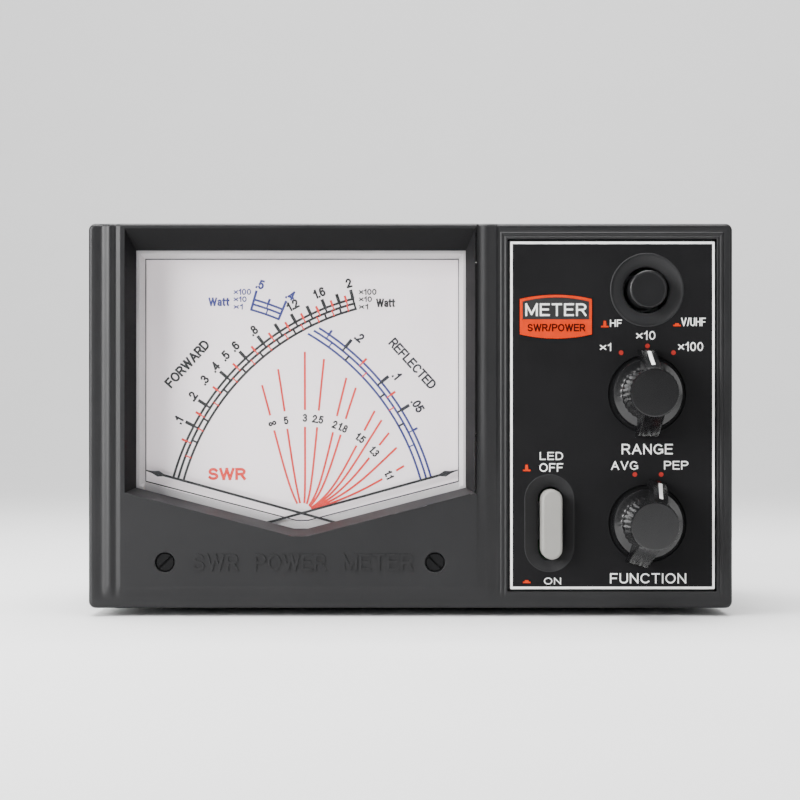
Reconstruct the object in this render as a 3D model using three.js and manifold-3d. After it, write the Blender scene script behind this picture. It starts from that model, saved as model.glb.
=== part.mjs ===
// A desktop cross-needle SWR and power meter for amateur radio, in millimetres, +Z up.
// X runs to the right as the operator sees the front, Y runs from the front face to the rear sockets.
// Every piece is a closed solid in its own named mesh.
import * as THREE from 'three';
import { mergeVertices } from 'three/addons/utils/BufferGeometryUtils.js';
import Module from 'manifold-3d';

const wasm = await Module();
wasm.setup();

// ---------- driving dimensions ----------

const GAP = 0.3; // clearance kept between neighbours

const CASE = { halfWidth: 77.5, bottom: 2, top: 94.6, corner: 1.6, wall: 2.4 };
const BEZEL = { rim: 1, wallBack: 4.2, back: 22 }; // depths behind the raised meter field
const METER_FIELD = {
  left: -74.6, right: 20.8, bottom: 4, top: 92.8, front: 0, back: 3, edge: 2.4, slope: 1,
};
const PANEL_FRAME = {
  left: 22, right: 75.4, bottom: 3.6, top: 93, front: 0.1, back: 2.5, edge: 0.5, slope: 0.9,
};
const SHEET = 1; // painted steel of the cover and chassis
const COVER = { halfWidth: 76.2, bottom: 3, top: 93.3, back: 80 };
const REAR_PANEL = { front: 78, back: 79.2 };

// The meter opening: a rectangle with a shallow V below, the flat at its apex only a few mm wide.
const WINDOW = { left: -66.5, right: 13.4, top: 88.4, apex: 21, rise: 9.95, flat: 1.7, spread: 2.2 };
const METER_X = (WINDOW.left + WINDOW.right) / 2;

// Depths of the meter's layers.
const PANE = { front: 4.5, back: 6 };
const BRIDGE = { front: 6.2, back: 7 };
const HAIRSPRING = { front: 7.3, back: 7.7, inner: 1.3, outer: 4.3, turns: 2.5, thickness: 0.22 };
const FORWARD_NEEDLE = { front: 8.1, back: 8.5 };
const REFLECTED_NEEDLE = { front: 9, back: 9.3 };
const SURROUND = { front: 6.3, sill: 9.7, back: 10.1, inset: 1.45 };
const DIAL = { front: 10.4, back: 10.9 };
const COIL = { front: 11.5, back: 24.7, radius: 6.3, bar: 0.7, width: 2.6, pivot: 0.5 };
const CORE = { front: 12.6, back: 23.6, radius: 5 };
const YOKE = { front: 13, back: 23, outer: 9.5, inner: 7.4 };
const METER_BASE = { front: 27, back: 29, bottom: 7, top: 89.8 };

// The two movements stand mirror-wise about the meter's centre line.
const PIVOT = { offset: 28.8, z: 16.6 };
const NEEDLE = {
  rest: 15.4, length: 69.5, width: 0.6, tail: 6, tailWidth: 1.8, tipWidth: 0.24, hub: 1.9, bore: 0.8,
  spearWidth: 1.5, spearLength: 2.8, spearEnd: 1.8,
};
const ZERO_SCREW = { offset: 32.45, z: 13.1, head: 2.05, shank: 1.3, throw: 1, pin: 0.5, slot: 0.5 };
const ZERO_HOLE = { shank: 1.7, sinkBack: 1.9 };
const ZERO_ARM = {
  front: 5.2, back: 5.8, reach: 6.2, ring: 3, bore: 1.9, width: 3.4, slot: 1.6, slotStart: 3.5,
};
const BOSS = { radius: 1.6, bore: 0.85, front: 5 };

// Where the posts of the meter's back plate stand, from the meter's centre line.
const DIAL_POSTS = [[-36, 84], [36, 84], [-36, 42], [36, 42]];
const LAMPS = { x: [-12, 0, 12], z: 64, radius: 1.5, postX: [-18, 18], halfBoard: 22 };
const BRIDGE_POSTS = [-40.3, 0, 40.3];
const LAMP_BOARD = { front: 14, back: 15.2, height: 8 };
const COIL_REST = 31; // degrees that the coils lean at rest, clear of the core pins
const CORE_PIN_SPREAD = 3.2;
const MARGIN = 2; // how far the meter's plates reach past the window on each side

// The control side.
const PANEL = { left: 23.1, right: 73.9, bottom: 5.9, top: 91.1, front: 0.6, back: 2.6 };
const RANGE = { x: 56.9, z: 53.6, turn: 0 };
const FUNCTION = { x: 57, z: 22.4, turn: 15 };
const KNOB = {
  skirt: 8.55, skirtHeight: 2.6, body: 6.3, top: 5.7, height: 14.2, bore: 3.3, boreDepth: 11.4,
  tab: 10.7, tabWidth: 4.6, tabEdge: 1.6, tabDrop: 0.9, tail: 10.4, tailWidth: 5.4,
};
const KNOB_RECESS = { radius: 9.3, depth: 0.4 };
const SHAFT_RADIUS = 3;
const BAND = { x: 56.9, z: 78.6, cap: 4.6, hole: 5.4, dish: 7.2, dishDepth: 1.4, front: -2.4, back: 6.6 };
const LIGHT = { x: 33.8, z: 22.3, width: 5, height: 16.8, clearance: 0.5, front: -3.4, back: 6 };
const LIGHT_DISH = { x: 33.4, z: 22.5, width: 11.4, height: 23, depth: 1.6, edge: 2.4 };
const SWITCH = { front: 14, back: 25.7, size: 9, bore: 3.8, boreBack: 23 };
const ROTARY = { front: 9.5, back: 25.7, size: 21, bush: 4, boreBack: 14 };
const PLUNGER = { width: 3, back: 18.5 };
const BOARD = { front: 26, back: 27.6, bottom: 9, top: 89 };

// The rear.
const SOCKET = {
  flange: 25, barrel: 7.95, rim: 0.7, bore: 6, boreFloor: 85, neck: 4.6, contact: 2.6, tip: 94, z: 28,
};
const INSULATOR = { front: 75, back: 88.5 };
const SOCKET_X = { hf_tx: 54, hf_ant: 18, vuhf_tx: -18, vuhf_ant: -54 };
const JACK = { x: 0, z: 64, nut: 5.6, neck: 3.9, bore: 3.1, pin: 1.05, front: 66, tip: 82 };
const SENSOR = { front: 50, back: 77.6, inner: 3, outer: 70, bottom: 12, top: 44, wall: 0.9 };
const FOOT = { x: 62, radius: 5.5, edge: 0.6, height: 2.3, front: 34, back: 68 };
const COVER_SCREW = {
  z: 9.5, front: 34, back: 68, length: 5.2, shaft: 1.3, shaftLength: 4.2, head: 2.9, rim: 0.5, dome: 0.7,
  slotDepth: 0.6, slot: 0.7,
};
const CHASSIS = { bottom: 2.6, lipTop: 16, tongueHalf: 72, tongueFront: 10, tongueTop: 5.7 };
const BEYOND = 100; // reach of a cutting block that has to pass right through

// The case stands centred over its origin, from the knob faces to the socket rims.
const FRONT_MOST = PANEL.front - KNOB.height;
const MIDDLE = (FRONT_MOST + SOCKET.tip) / 2;

// ---------- solids ----------

function toSolid(geometry) {
  geometry.deleteAttribute('normal');
  geometry.deleteAttribute('uv');
  const merged = mergeVertices(geometry, 1e-4);
  return new wasm.Manifold(
    new wasm.Mesh({
      numProp: 3,
      vertProperties: new Float32Array(merged.attributes.position.array),
      triVerts: new Uint32Array(merged.index.array),
    }),
  );
}

function toGeometry(solid) {
  const { vertProperties, triVerts } = solid.getMesh();
  const geometry = new THREE.BufferGeometry();
  geometry.setAttribute('position', new THREE.BufferAttribute(new Float32Array(vertProperties), 3));
  geometry.setIndex(new THREE.BufferAttribute(new Uint32Array(triVerts), 1));
  geometry.computeVertexNormals();
  return geometry;
}

function join(...solids) {
  return solids.reduce((whole, next) => whole.add(next));
}

function cut(solid, ...tools) {
  return tools.reduce((rest, tool) => rest.subtract(tool), solid);
}

// A box between two corners.
function block(x0, x1, y0, y1, z0, z1) {
  const geometry = new THREE.BoxGeometry(x1 - x0, y1 - y0, z1 - z0);
  geometry.translate((x0 + x1) / 2, (y0 + y1) / 2, (z0 + z1) / 2);
  return toSolid(geometry);
}

// A round bar along Y; a different rear radius makes it a cone.
function post(x, z, radius, front, back, rearRadius = radius, sides = 20) {
  const geometry = new THREE.CylinderGeometry(rearRadius, radius, back - front, sides);
  geometry.translate(x, (front + back) / 2, z);
  return toSolid(geometry);
}

function rod(x, z, radius, front, back, sides) {
  return post(x, z, radius, front, back, radius, sides);
}

// An outline drawn as the front is seen (X, Z), extruded from one depth to another.
function slab(outline, front, back, curveSegments = 8) {
  const depth = back - front;
  const geometry = new THREE.ExtrudeGeometry(outline, { depth, bevelEnabled: false, curveSegments });
  geometry.rotateX(Math.PI / 2);
  geometry.translate(0, back, 0);
  return toSolid(geometry);
}

// The same with both faces drawn in by `edge` over a depth of `slope`.
function taperedSlab(outline, front, back, edge, slope, segments = 1, curveSegments = 8) {
  const geometry = new THREE.ExtrudeGeometry(outline, {
    depth: back - front - 2 * slope,
    bevelSize: edge,
    bevelThickness: slope,
    bevelOffset: -edge,
    bevelSegments: segments,
    curveSegments,
  });
  geometry.rotateX(Math.PI / 2);
  geometry.translate(0, back - slope, 0);
  return toSolid(geometry);
}

// A profile of (radius, depth) points turned about the Y axis; it starts and ends on the axis,
// or closes on itself.
function turned(profile, sides = 32) {
  const points = profile.map(([radius, depth]) => new THREE.Vector2(radius, depth));
  return toSolid(new THREE.LatheGeometry(points, sides));
}

// ---------- outlines ----------

function polygon(points) {
  return new THREE.Shape(points.map(([x, z]) => new THREE.Vector2(x, z)));
}

function roundedRectangle(left, right, bottom, top, radius) {
  const shape = new THREE.Shape();
  shape.moveTo(left + radius, bottom);
  shape.lineTo(right - radius, bottom);
  shape.absarc(right - radius, bottom + radius, radius, -Math.PI / 2, 0);
  shape.lineTo(right, top - radius);
  shape.absarc(right - radius, top - radius, radius, 0, Math.PI / 2);
  shape.lineTo(left + radius, top);
  shape.absarc(left + radius, top - radius, radius, Math.PI / 2, Math.PI);
  shape.lineTo(left, bottom + radius);
  shape.absarc(left + radius, bottom + radius, radius, Math.PI, 1.5 * Math.PI);
  return shape;
}

function stadium(x, z, width, height) {
  const radius = width / 2;
  const reach = height / 2 - radius;
  const shape = new THREE.Shape();
  shape.absarc(x, z - reach, radius, Math.PI, 2 * Math.PI);
  shape.absarc(x, z + reach, radius, 0, Math.PI);
  return shape;
}

// The meter's outline with every side moved outwards by `grow`.
function meterOutline(grow) {
  const slope = WINDOW.rise / ((WINDOW.right - WINDOW.left) / 2 - WINDOW.flat);
  const slant = Math.hypot(1, slope);
  const flat = WINDOW.flat + (grow * (slant - 1)) / slope;
  const corner = WINDOW.apex + WINDOW.rise + grow * slope - grow * slant;
  const left = WINDOW.left - grow;
  const right = WINDOW.right + grow;
  const top = WINDOW.top + grow;
  const apex = WINDOW.apex - grow;
  return polygon([
    [METER_X - flat, apex],
    [METER_X + flat, apex],
    [right, corner],
    [right, top],
    [left, top],
    [left, corner],
  ]);
}

// ---------- the assembly ----------

const assembly = new THREE.Group();
assembly.position.y = -MIDDLE;

function add(name, solid, material, position = [0, 0, 0], turn = 0, parent = assembly) {
  const mesh = new THREE.Mesh(toGeometry(solid), material.clone());
  mesh.name = name;
  mesh.position.set(...position);
  mesh.rotation.y = THREE.MathUtils.degToRad(turn);
  parent.add(mesh);
  return mesh;
}

function standard(color, roughness, metalness) {
  return new THREE.MeshStandardMaterial({ color, roughness, metalness });
}

const BLACK_ABS = standard('#26262a', 0.45, 0);
const BLACK_STEEL = standard('#2a2a2c', 0.5, 0.4);
const PANEL_BLACK = standard('#222224', 0.6, 0);
const KNOB_BLACK = standard('#2b2b2d', 0.45, 0);
const CAP_GREY = standard('#aeb0ac', 0.5, 0);
const CLEAR = standard('#e8f0f4', 0.05, 0);
const WHITE_PLASTIC = standard('#d9d6d8', 0.5, 0);
const DIAL_WHITE = standard('#e9e2e4', 0.6, 0.1);
const NEEDLE_BLACK = standard('#141416', 0.5, 0.2);
const BRASS = standard('#b89a52', 0.35, 1);
const STEEL = standard('#9a9da0', 0.4, 1);
const NICKEL = standard('#c9cacb', 0.25, 1);
const COPPER = standard('#a8582e', 0.4, 1);
const MAGNET = standard('#4a4a4d', 0.5, 0.8);
const BOARD_GREEN = standard('#2f5a3a', 0.6, 0);
const PTFE = standard('#ece9e0', 0.6, 0);
const RUBBER = standard('#1b1b1b', 0.9, 0);
const TIN = standard('#b4b6b4', 0.35, 1);

// ---------- casing ----------

// One moulding: skirt, front wall, the raised meter field, the frame of the control panel, the
// sloping recess in front of the meter window, and the holes for everything that passes through.
function frontBezel() {
  const c = CASE;
  const outer = roundedRectangle(-c.halfWidth, c.halfWidth, c.bottom, c.top, c.corner);
  const skirt = taperedSlab(outer, BEZEL.rim, BEZEL.back + 4, 1, 1, 2, 3);
  const meterField = raisedField(METER_FIELD);
  const panelFrame = raisedField(PANEL_FRAME);
  const half = c.halfWidth - c.wall;
  const inside = block(-half, half, BEZEL.wallBack, BEZEL.back + 8, c.bottom + c.wall, c.top - c.wall);
  const trim = block(-BEYOND, BEYOND, BEZEL.back, BEZEL.back + 8, -BEYOND, BEYOND);
  const recess = taperedSlab(
    meterOutline(WINDOW.spread), -BEZEL.wallBack - 2, BEZEL.wallBack, WINDOW.spread, BEZEL.wallBack,
  );
  const opening = slab(meterOutline(0), -2, BEZEL.wallBack + 2);
  const p = PANEL;
  const pocket = block(p.left - GAP, p.right + GAP, -2, p.back + GAP, p.bottom - GAP, p.top + GAP);
  const body = cut(join(skirt, meterField, panelFrame), inside, trim, recess, opening, pocket);
  return cut(body, ...zeroScrewHoles(), ...controlHoles(0.2, BEZEL.wallBack + 2));
}

function raisedField({ left, right, bottom, top, front, back, edge, slope }) {
  const outline = polygon([[left, bottom], [right, bottom], [right, top], [left, top]]);
  return taperedSlab(outline, front, back, edge, slope);
}

function zeroScrewHoles() {
  return [-1, 1].flatMap((side) => {
    const x = METER_X + side * ZERO_SCREW.offset;
    return [
      post(x, ZERO_SCREW.z, ZERO_SCREW.head + GAP, -1, ZERO_HOLE.sinkBack),
      rod(x, ZERO_SCREW.z, ZERO_HOLE.shank, 0, BEZEL.wallBack + 1, 16),
    ];
  });
}

// Holes for the two switch bushes and the two push buttons; `more` widens those of the wall behind.
function controlHoles(more, back) {
  return [
    post(RANGE.x, RANGE.z, ROTARY.bush + GAP, -2, back),
    post(FUNCTION.x, FUNCTION.z, ROTARY.bush + GAP, -2, back),
    rod(BAND.x, BAND.z, BAND.hole + more, -2, back, 24),
    slab(lightOutline(LIGHT.clearance + more), -2, back, 6),
  ];
}

function lightOutline(grow) {
  return stadium(LIGHT.x, LIGHT.z, LIGHT.width + 2 * grow, LIGHT.height + 2 * grow);
}

// An inverted U of painted steel over the top and both sides.
function topCover() {
  const c = COVER;
  const front = BEZEL.back + GAP;
  const outer = tunnel(c.halfWidth, c.top, front, c.back, 2);
  const inner = tunnel(c.halfWidth - SHEET, c.top - SHEET, front - 5, c.back + 5, 1);
  return cut(outer, inner, ...coverScrewHoles());
}

function tunnel(halfWidth, top, front, back, corner) {
  const shape = roundedRectangle(-halfWidth, halfWidth, COVER.bottom - 10, top, corner);
  return cut(slab(shape, front, back, 4), block(-BEYOND, BEYOND, front - 1, back + 1, -BEYOND, COVER.bottom));
}

function acrossHole(y, z, radius) {
  const geometry = new THREE.CylinderGeometry(radius, radius, 200, 10);
  geometry.rotateZ(Math.PI / 2);
  geometry.translate(0, y, z);
  return toSolid(geometry);
}

function coverScrewHoles() {
  const { front, back, z, shaft } = COVER_SCREW;
  return [front, back].map((y) => acrossHole(y, z, shaft + 0.4));
}

// Bottom, rear panel, two side lips for the cover screws and a front tongue inside the bezel.
function chassis() {
  const half = COVER.halfWidth - SHEET - GAP;
  const low = CHASSIS.bottom;
  const { tongueHalf, tongueTop, tongueFront } = CHASSIS;
  const front = BEZEL.back + GAP;
  const floor = block(-half, half, front, REAR_PANEL.back, low, low + SHEET);
  const rear = block(-half, half, REAR_PANEL.front, REAR_PANEL.back, low, COVER.top - SHEET - GAP);
  const lips = [-1, 1].map((side) => {
    const edges = [side * half, side * (half - SHEET)].sort((a, b) => a - b);
    return block(...edges, front, REAR_PANEL.back, low, CHASSIS.lipTop);
  });
  const riser = block(-tongueHalf, tongueHalf, front, front + SHEET, low, tongueTop);
  const tongue = block(-tongueHalf, tongueHalf, tongueFront, front + SHEET, tongueTop - SHEET, tongueTop);
  const socketHoles = Object.values(SOCKET_X).map((x) => rearHole(x, SOCKET.z, SOCKET.neck + 0.4));
  const jackHole = rearHole(JACK.x, JACK.z, JACK.neck + 0.4);
  return cut(join(floor, rear, ...lips, riser, tongue), ...socketHoles, jackHole, ...coverScrewHoles());
}

function rearHole(x, z, radius) {
  return rod(x, z, radius, REAR_PANEL.front - 5, REAR_PANEL.back + 5, 12);
}

// A rubber foot with a softened lower edge, its axis upright.
function foot() {
  const { radius, edge, height } = FOOT;
  const profile = [[0, 0], [radius - edge, 0], [radius, edge], [radius, height], [0, height]];
  const geometry = new THREE.LatheGeometry(profile.map(([r, h]) => new THREE.Vector2(r, h)), 16);
  geometry.rotateX(Math.PI / 2);
  return toSolid(geometry);
}

// A pan-head screw along X with a cross slot; `side` is the face that it enters.
function coverScrew(side) {
  const { length, shaft, shaftLength, head, rim, dome, slot } = COVER_SCREW;
  const profile = [
    [0, 0],
    [shaft, 0],
    [shaft, shaftLength],
    [head, shaftLength],
    [head, length - rim],
    [head - dome, length],
    [0, length],
  ];
  const floor = length - COVER_SCREW.slotDepth;
  const half = slot / 2;
  const slots = [block(-2, 2, floor, length + 1, -half, half), block(-half, half, floor, length + 1, -2, 2)];
  const screw = cut(turned(profile, 14), ...slots);
  const geometry = toGeometry(screw);
  geometry.rotateZ((-side * Math.PI) / 2);
  return toSolid(geometry);
}

function addCasing() {
  add('front_bezel', frontBezel(), BLACK_ABS);
  add('top_cover', topCover(), BLACK_STEEL);
  add('chassis', chassis(), BLACK_STEEL);
  let number = 1;
  for (const x of [-FOOT.x, FOOT.x]) {
    for (const y of [FOOT.front, FOOT.back]) {
      add(`foot_${number}`, foot(), RUBBER, [x, y, 0]);
      number += 1;
    }
  }
  number = 1;
  for (const side of [-1, 1]) {
    for (const y of [COVER_SCREW.front, COVER_SCREW.back]) {
      const x = side * (CASE.halfWidth - COVER_SCREW.length);
      add(`cover_screw_${number}`, coverScrew(side), STEEL, [x, y, COVER_SCREW.z]);
      number += 1;
    }
  }
}

// ---------- meter ----------

function meterWindow() {
  return slab(meterOutline(1.9), PANE.front, PANE.back);
}

// A white frame whose walls slope in towards the dial. Its V-shaped sill lies behind the needles.
function meterSurround() {
  const s = SURROUND;
  const depth = s.back - s.front;
  const flare = (s.inset * depth) / (s.back - BEZEL.wallBack);
  const outer = slab(meterOutline(1.9), s.front, s.back);
  const well = taperedSlab(meterOutline(flare - s.inset), s.front - depth - 1, s.back, flare, depth);
  const through = slab(meterOutline(-s.inset), s.front - 1, s.back + 1);
  const needlePath = block(WINDOW.left + s.inset, WINDOW.right - s.inset, s.front - 1, s.sill, 0, 33);
  return cut(outer, well, through, needlePath);
}

function dialPlate() {
  return slab(meterOutline(1.2), DIAL.front, DIAL.back);
}

// Moulded back plate with posts for the dial, the lamp board and the bridge, and two pins that
// hold each magnet core inside its turning coil.
function meterBase() {
  const b = METER_BASE;
  const half = (WINDOW.right - WINDOW.left) / 2 + MARGIN;
  const root = b.front + 1;
  const plate = block(METER_X - half, METER_X + half, b.front, b.back, b.bottom, b.top);
  const dialPosts = DIAL_POSTS.map(([x, z]) => rod(METER_X + x, z, 2, DIAL.back + GAP, root, 10));
  const lampPosts = LAMPS.postX.map((x) => rod(METER_X + x, LAMPS.z, 1.6, LAMP_BOARD.back + GAP, root, 8));
  const bridgePosts = BRIDGE_POSTS.map((x) => rod(METER_X + x, PIVOT.z, 1.5, BRIDGE.back + GAP, root, 12));
  const centres = [-1, 1].map((side) => METER_X + side * PIVOT.offset);
  const corePins = centres.flatMap((x) => [-1, 1].map((side) => (
    rod(x, PIVOT.z + side * CORE_PIN_SPREAD, 0.7, CORE.back + GAP, root, 8)
  )));
  const bearings = centres.map((x) => rod(x, PIVOT.z, 0.9, b.front - 1, b.back + 1, 10));
  return cut(join(plate, ...dialPosts, ...lampPosts, ...bridgePosts, ...corePins), ...bearings);
}

// The strip across both movements that carries the front bearings and, on their bosses, the zero arms.
function movementBridge() {
  const half = (WINDOW.right - WINDOW.left) / 2 + MARGIN;
  const low = PIVOT.z - 2.2;
  const high = PIVOT.z + 2.2;
  const strip = block(METER_X - half, METER_X + half, BRIDGE.front, BRIDGE.back, low, high);
  const centres = [-1, 1].map((side) => METER_X + side * PIVOT.offset);
  const bosses = centres.map((x) => rod(x, PIVOT.z, BOSS.radius, BOSS.front, BRIDGE.front + 0.4, 12));
  const bores = centres.map((x) => rod(x, PIVOT.z, BOSS.bore, BOSS.front - 1, BRIDGE.back + 1, 10));
  return cut(join(strip, ...bosses), ...bores);
}

// A flat pointer along +X about its pivot: hub, thin bar with a spear near the tip, short tail.
function needle(front, back) {
  const n = NEEDLE;
  const w = n.width / 2;
  const spear = n.length - n.spearEnd;
  const tail = n.tailWidth / 2;
  const tip = n.tipWidth / 2;
  const bar = polygon([
    [-n.tail, -tail],
    [-2, -w],
    [spear - n.spearLength, -w],
    [spear - n.spearLength / 2, -n.spearWidth / 2],
    [spear, -w],
    [n.length, -tip],
    [n.length, tip],
    [spear, w],
    [spear - n.spearLength / 2, n.spearWidth / 2],
    [spear - n.spearLength, w],
    [-2, w],
    [-n.tail, tail],
  ]);
  const hub = rod(0, 0, n.hub, front, back, 12);
  return cut(join(slab(bar, front, back), hub), rod(0, 0, n.bore, front - 1, back + 1, 8));
}

// A flat wound frame around the magnet core, with a pivot at each end.
function coil() {
  const { front, back, radius, bar, width, pivot } = COIL;
  const frame = block(-radius, radius, front, back, -width / 2, width / 2);
  const hollow = block(-radius + bar, radius - bar, front + bar, back - bar, -width, width);
  const frontPivot = rod(0, 0, pivot, BRIDGE.front + 0.2, front + 0.3, 8);
  const rearPivot = rod(0, 0, pivot, back - 0.3, METER_BASE.back - 0.6, 8);
  return join(cut(frame, hollow), frontPivot, rearPivot);
}

function magnetCore() {
  return rod(0, 0, CORE.radius, CORE.front, CORE.back, 24);
}

function yoke() {
  const { front, back, outer, inner } = YOKE;
  return turned([[inner, front], [outer, front], [outer, back], [inner, back], [inner, front]], 24);
}

// A flat spiral ribbon around the coil's front pivot.
function hairspring() {
  const { front, back, inner, outer, turns, thickness } = HAIRSPRING;
  const steps = 36;
  const spiral = (t, shift) => {
    const angle = t * turns * 2 * Math.PI;
    const radius = inner + (outer - inner) * t + shift;
    return [radius * Math.cos(angle), radius * Math.sin(angle)];
  };
  const along = Array.from({ length: steps + 1 }, (_, i) => i / steps);
  const outside = along.map((t) => spiral(t, thickness));
  const inside = along.map((t) => spiral(t, 0)).reverse();
  return slab(polygon([...outside, ...inside]), front, back);
}

// A ring on the bridge boss with a forked arm along +X that the zero screw's pin moves.
function zeroArm() {
  const a = ZERO_ARM;
  const ring = rod(0, 0, a.ring, a.front, a.back, 14);
  const arm = block(0, a.reach, a.front, a.back, -a.width / 2, a.width / 2);
  const bore = rod(0, 0, a.bore, a.front - 1, a.back + 1, 12);
  const slot = block(a.slotStart, a.reach + 1, a.front - 1, a.back + 1, -a.slot / 2, a.slot / 2);
  return cut(join(ring, arm), bore, slot);
}

// Slotted head, shank through the bezel and an eccentric pin that lies towards local +X.
function zeroScrew() {
  const s = ZERO_SCREW;
  const head = post(0, 0, s.head, 0.4, 1.6);
  const shank = rod(0, 0, s.shank, 1.5, 4.8, 10);
  const pin = rod(s.throw, 0, s.pin, 4.6, 6, 8);
  const slot = block(-3, 3, 0, 1, -s.slot / 2, s.slot / 2);
  return cut(join(head, shank, pin), slot);
}

function lampBoard() {
  const { x: places, z, radius, halfBoard } = LAMPS;
  const { front, back, height } = LAMP_BOARD;
  const board = block(METER_X - halfBoard, METER_X + halfBoard, front, back, z - height / 2, z + height / 2);
  const lamps = places.map((x) => rod(METER_X + x, z, radius, DIAL.back + 1, front + 0.5, 10));
  return join(board, ...lamps);
}

// side is +1 for the forward movement on the right and -1 for the reflected one on the left.
function addMovement(name, side, layer) {
  const pivot = new THREE.Group();
  pivot.position.set(METER_X + side * PIVOT.offset, 0, PIVOT.z);
  assembly.add(pivot);
  const towardsCentre = side > 0 ? 180 - NEEDLE.rest : NEEDLE.rest;
  const screwX = side * (ZERO_SCREW.offset - PIVOT.offset);
  const screwZ = ZERO_SCREW.z - PIVOT.z;
  const towardsScrew = THREE.MathUtils.radToDeg(Math.atan2(screwZ, screwX));
  const here = [0, 0, 0];
  add(`${name}_needle`, needle(layer.front, layer.back), NEEDLE_BLACK, here, -towardsCentre, pivot);
  add(`${name}_coil`, coil(), COPPER, here, -COIL_REST * side, pivot);
  add(`${name}_magnet`, magnetCore(), MAGNET, here, 0, pivot);
  add(`${name}_yoke`, yoke(), STEEL, here, 0, pivot);
  add(`${name}_hairspring`, hairspring(), BRASS, here, 0, pivot);
  add(`${name}_zero_arm`, zeroArm(), BRASS, here, -towardsScrew, pivot);
  add(`${name}_zero_screw`, zeroScrew(), BLACK_ABS, [screwX, 0, screwZ], 180 - towardsScrew, pivot);
}

function addMeter() {
  add('meter_window', meterWindow(), CLEAR);
  add('meter_surround', meterSurround(), WHITE_PLASTIC);
  add('dial_plate', dialPlate(), DIAL_WHITE);
  add('lamp_board', lampBoard(), BOARD_GREEN);
  add('meter_base', meterBase(), BLACK_ABS);
  add('movement_bridge', movementBridge(), BRASS);
  addMovement('forward', 1, FORWARD_NEEDLE);
  addMovement('reflected', -1, REFLECTED_NEEDLE);
}

// ---------- controls ----------

// A plate with a dish around each button and a shallow round recess under each knob.
function controlPanel() {
  const p = PANEL;
  const plate = slab(roundedRectangle(p.left, p.right, p.bottom, p.top, 1), p.front, p.back, 4);
  const knobRecesses = [RANGE, FUNCTION].map(({ x, z }) => (
    rod(x, z, KNOB_RECESS.radius, p.front - 1, p.front + KNOB_RECESS.depth, 24)
  ));
  const flush = 0.01; // keeps a dish's rim from lying exactly in the plate's face
  const roundDish = post(BAND.x, BAND.z, BAND.dish, p.front - flush, p.front + BAND.dishDepth, BAND.hole, 24);
  const { depth, edge } = LIGHT_DISH;
  const rim = stadium(LIGHT_DISH.x, LIGHT_DISH.z, LIGHT_DISH.width, LIGHT_DISH.height);
  const longDish = taperedSlab(rim, p.front - 2 * depth, p.front + depth, edge, depth, 1, 6);
  return cut(plate, ...knobRecesses, roundDish, longDish, ...controlHoles(0, p.back + 1));
}

// A skirted knob: its base lies at depth 0 and its face towards -Y, the pointer towards +Z.
function knob() {
  const k = KNOB;
  const profile = [
    [0, -k.height],
    [k.top - 0.4, -k.height],
    [k.top, -k.height + 0.4],
    [k.body, -k.skirtHeight - 0.6],
    [k.skirt - 1, -k.skirtHeight + 0.4],
    [k.skirt, -1],
    [k.skirt, 0],
    [0, 0],
  ];
  const tab = (length, width) => {
    const side = new THREE.Shape([
      new THREE.Vector2(0, 0),
      new THREE.Vector2(length, 0),
      new THREE.Vector2(length, k.tabEdge),
      new THREE.Vector2(k.top, k.height - k.tabDrop),
      new THREE.Vector2(0, k.height - k.tabDrop),
    ]);
    const geometry = new THREE.ExtrudeGeometry(side, { depth: width, bevelEnabled: false });
    geometry.translate(0, 0, -width / 2);
    return geometry;
  };
  const pointer = tab(k.tab, k.tabWidth);
  pointer.rotateX(Math.PI);
  pointer.rotateY(-Math.PI / 2);
  const tail = tab(k.tail, k.tailWidth);
  tail.rotateX(Math.PI);
  tail.rotateY(Math.PI / 2);
  const bore = rod(0, 0, k.bore, -k.boreDepth, 1, 16);
  return cut(join(turned(profile, 32), toSolid(pointer), toSolid(tail)), bore);
}

// A shaft with a flat, from inside the knob to inside the switch.
function knobShaft() {
  const front = PANEL.front - KNOB.height + 3;
  const bar = rod(0, 0, SHAFT_RADIUS, front, ROTARY.boreBack - 1, 16);
  const flat = block(-4, 4, front - 1, front + 9, SHAFT_RADIUS - 0.7, 5);
  return cut(bar, flat);
}

function rotarySwitch() {
  const { front, back, size, bush, boreBack } = ROTARY;
  const half = size / 2;
  const body = block(-half, half, front, back, -half, half);
  const neck = post(0, 0, bush, PANEL.back + 0.4, front + 1);
  return cut(join(body, neck), rod(0, 0, KNOB.bore, 0, boreBack, 16));
}

function bandCap() {
  const b = BAND;
  const rim = 0.7;
  const face = [[0, b.front], [b.cap - rim, b.front]];
  const side = [[b.cap, b.front + rim], [b.cap, b.back], [0, b.back]];
  return turned([...face, ...side], 28);
}

function lightCap() {
  const shape = stadium(0, 0, LIGHT.width, LIGHT.height);
  return taperedSlab(shape, LIGHT.front, LIGHT.back, 0.6, 0.6, 1, 6);
}

function plunger(front) {
  const half = PLUNGER.width / 2;
  return block(-half, half, front + GAP, PLUNGER.back, -half, half);
}

function pushSwitch() {
  const { front, back, size, bore, boreBack } = SWITCH;
  const half = size / 2;
  const body = block(-half, half, front, back, -half, half);
  return cut(body, block(-bore / 2, bore / 2, front - 1, boreBack, -bore / 2, bore / 2));
}

function switchBoard() {
  return block(PANEL.left + 1, PANEL.right - 1, BOARD.front, BOARD.back, BOARD.bottom, BOARD.top);
}

function addRotary(name, place) {
  const spot = [place.x, 0, place.z];
  const base = [place.x, PANEL.front, place.z];
  add(`${name}_knob`, knob(), KNOB_BLACK, base, place.turn);
  add(`${name}_shaft`, knobShaft(), STEEL, spot, place.turn);
  add(`${name}_switch`, rotarySwitch(), STEEL, spot);
}

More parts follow.
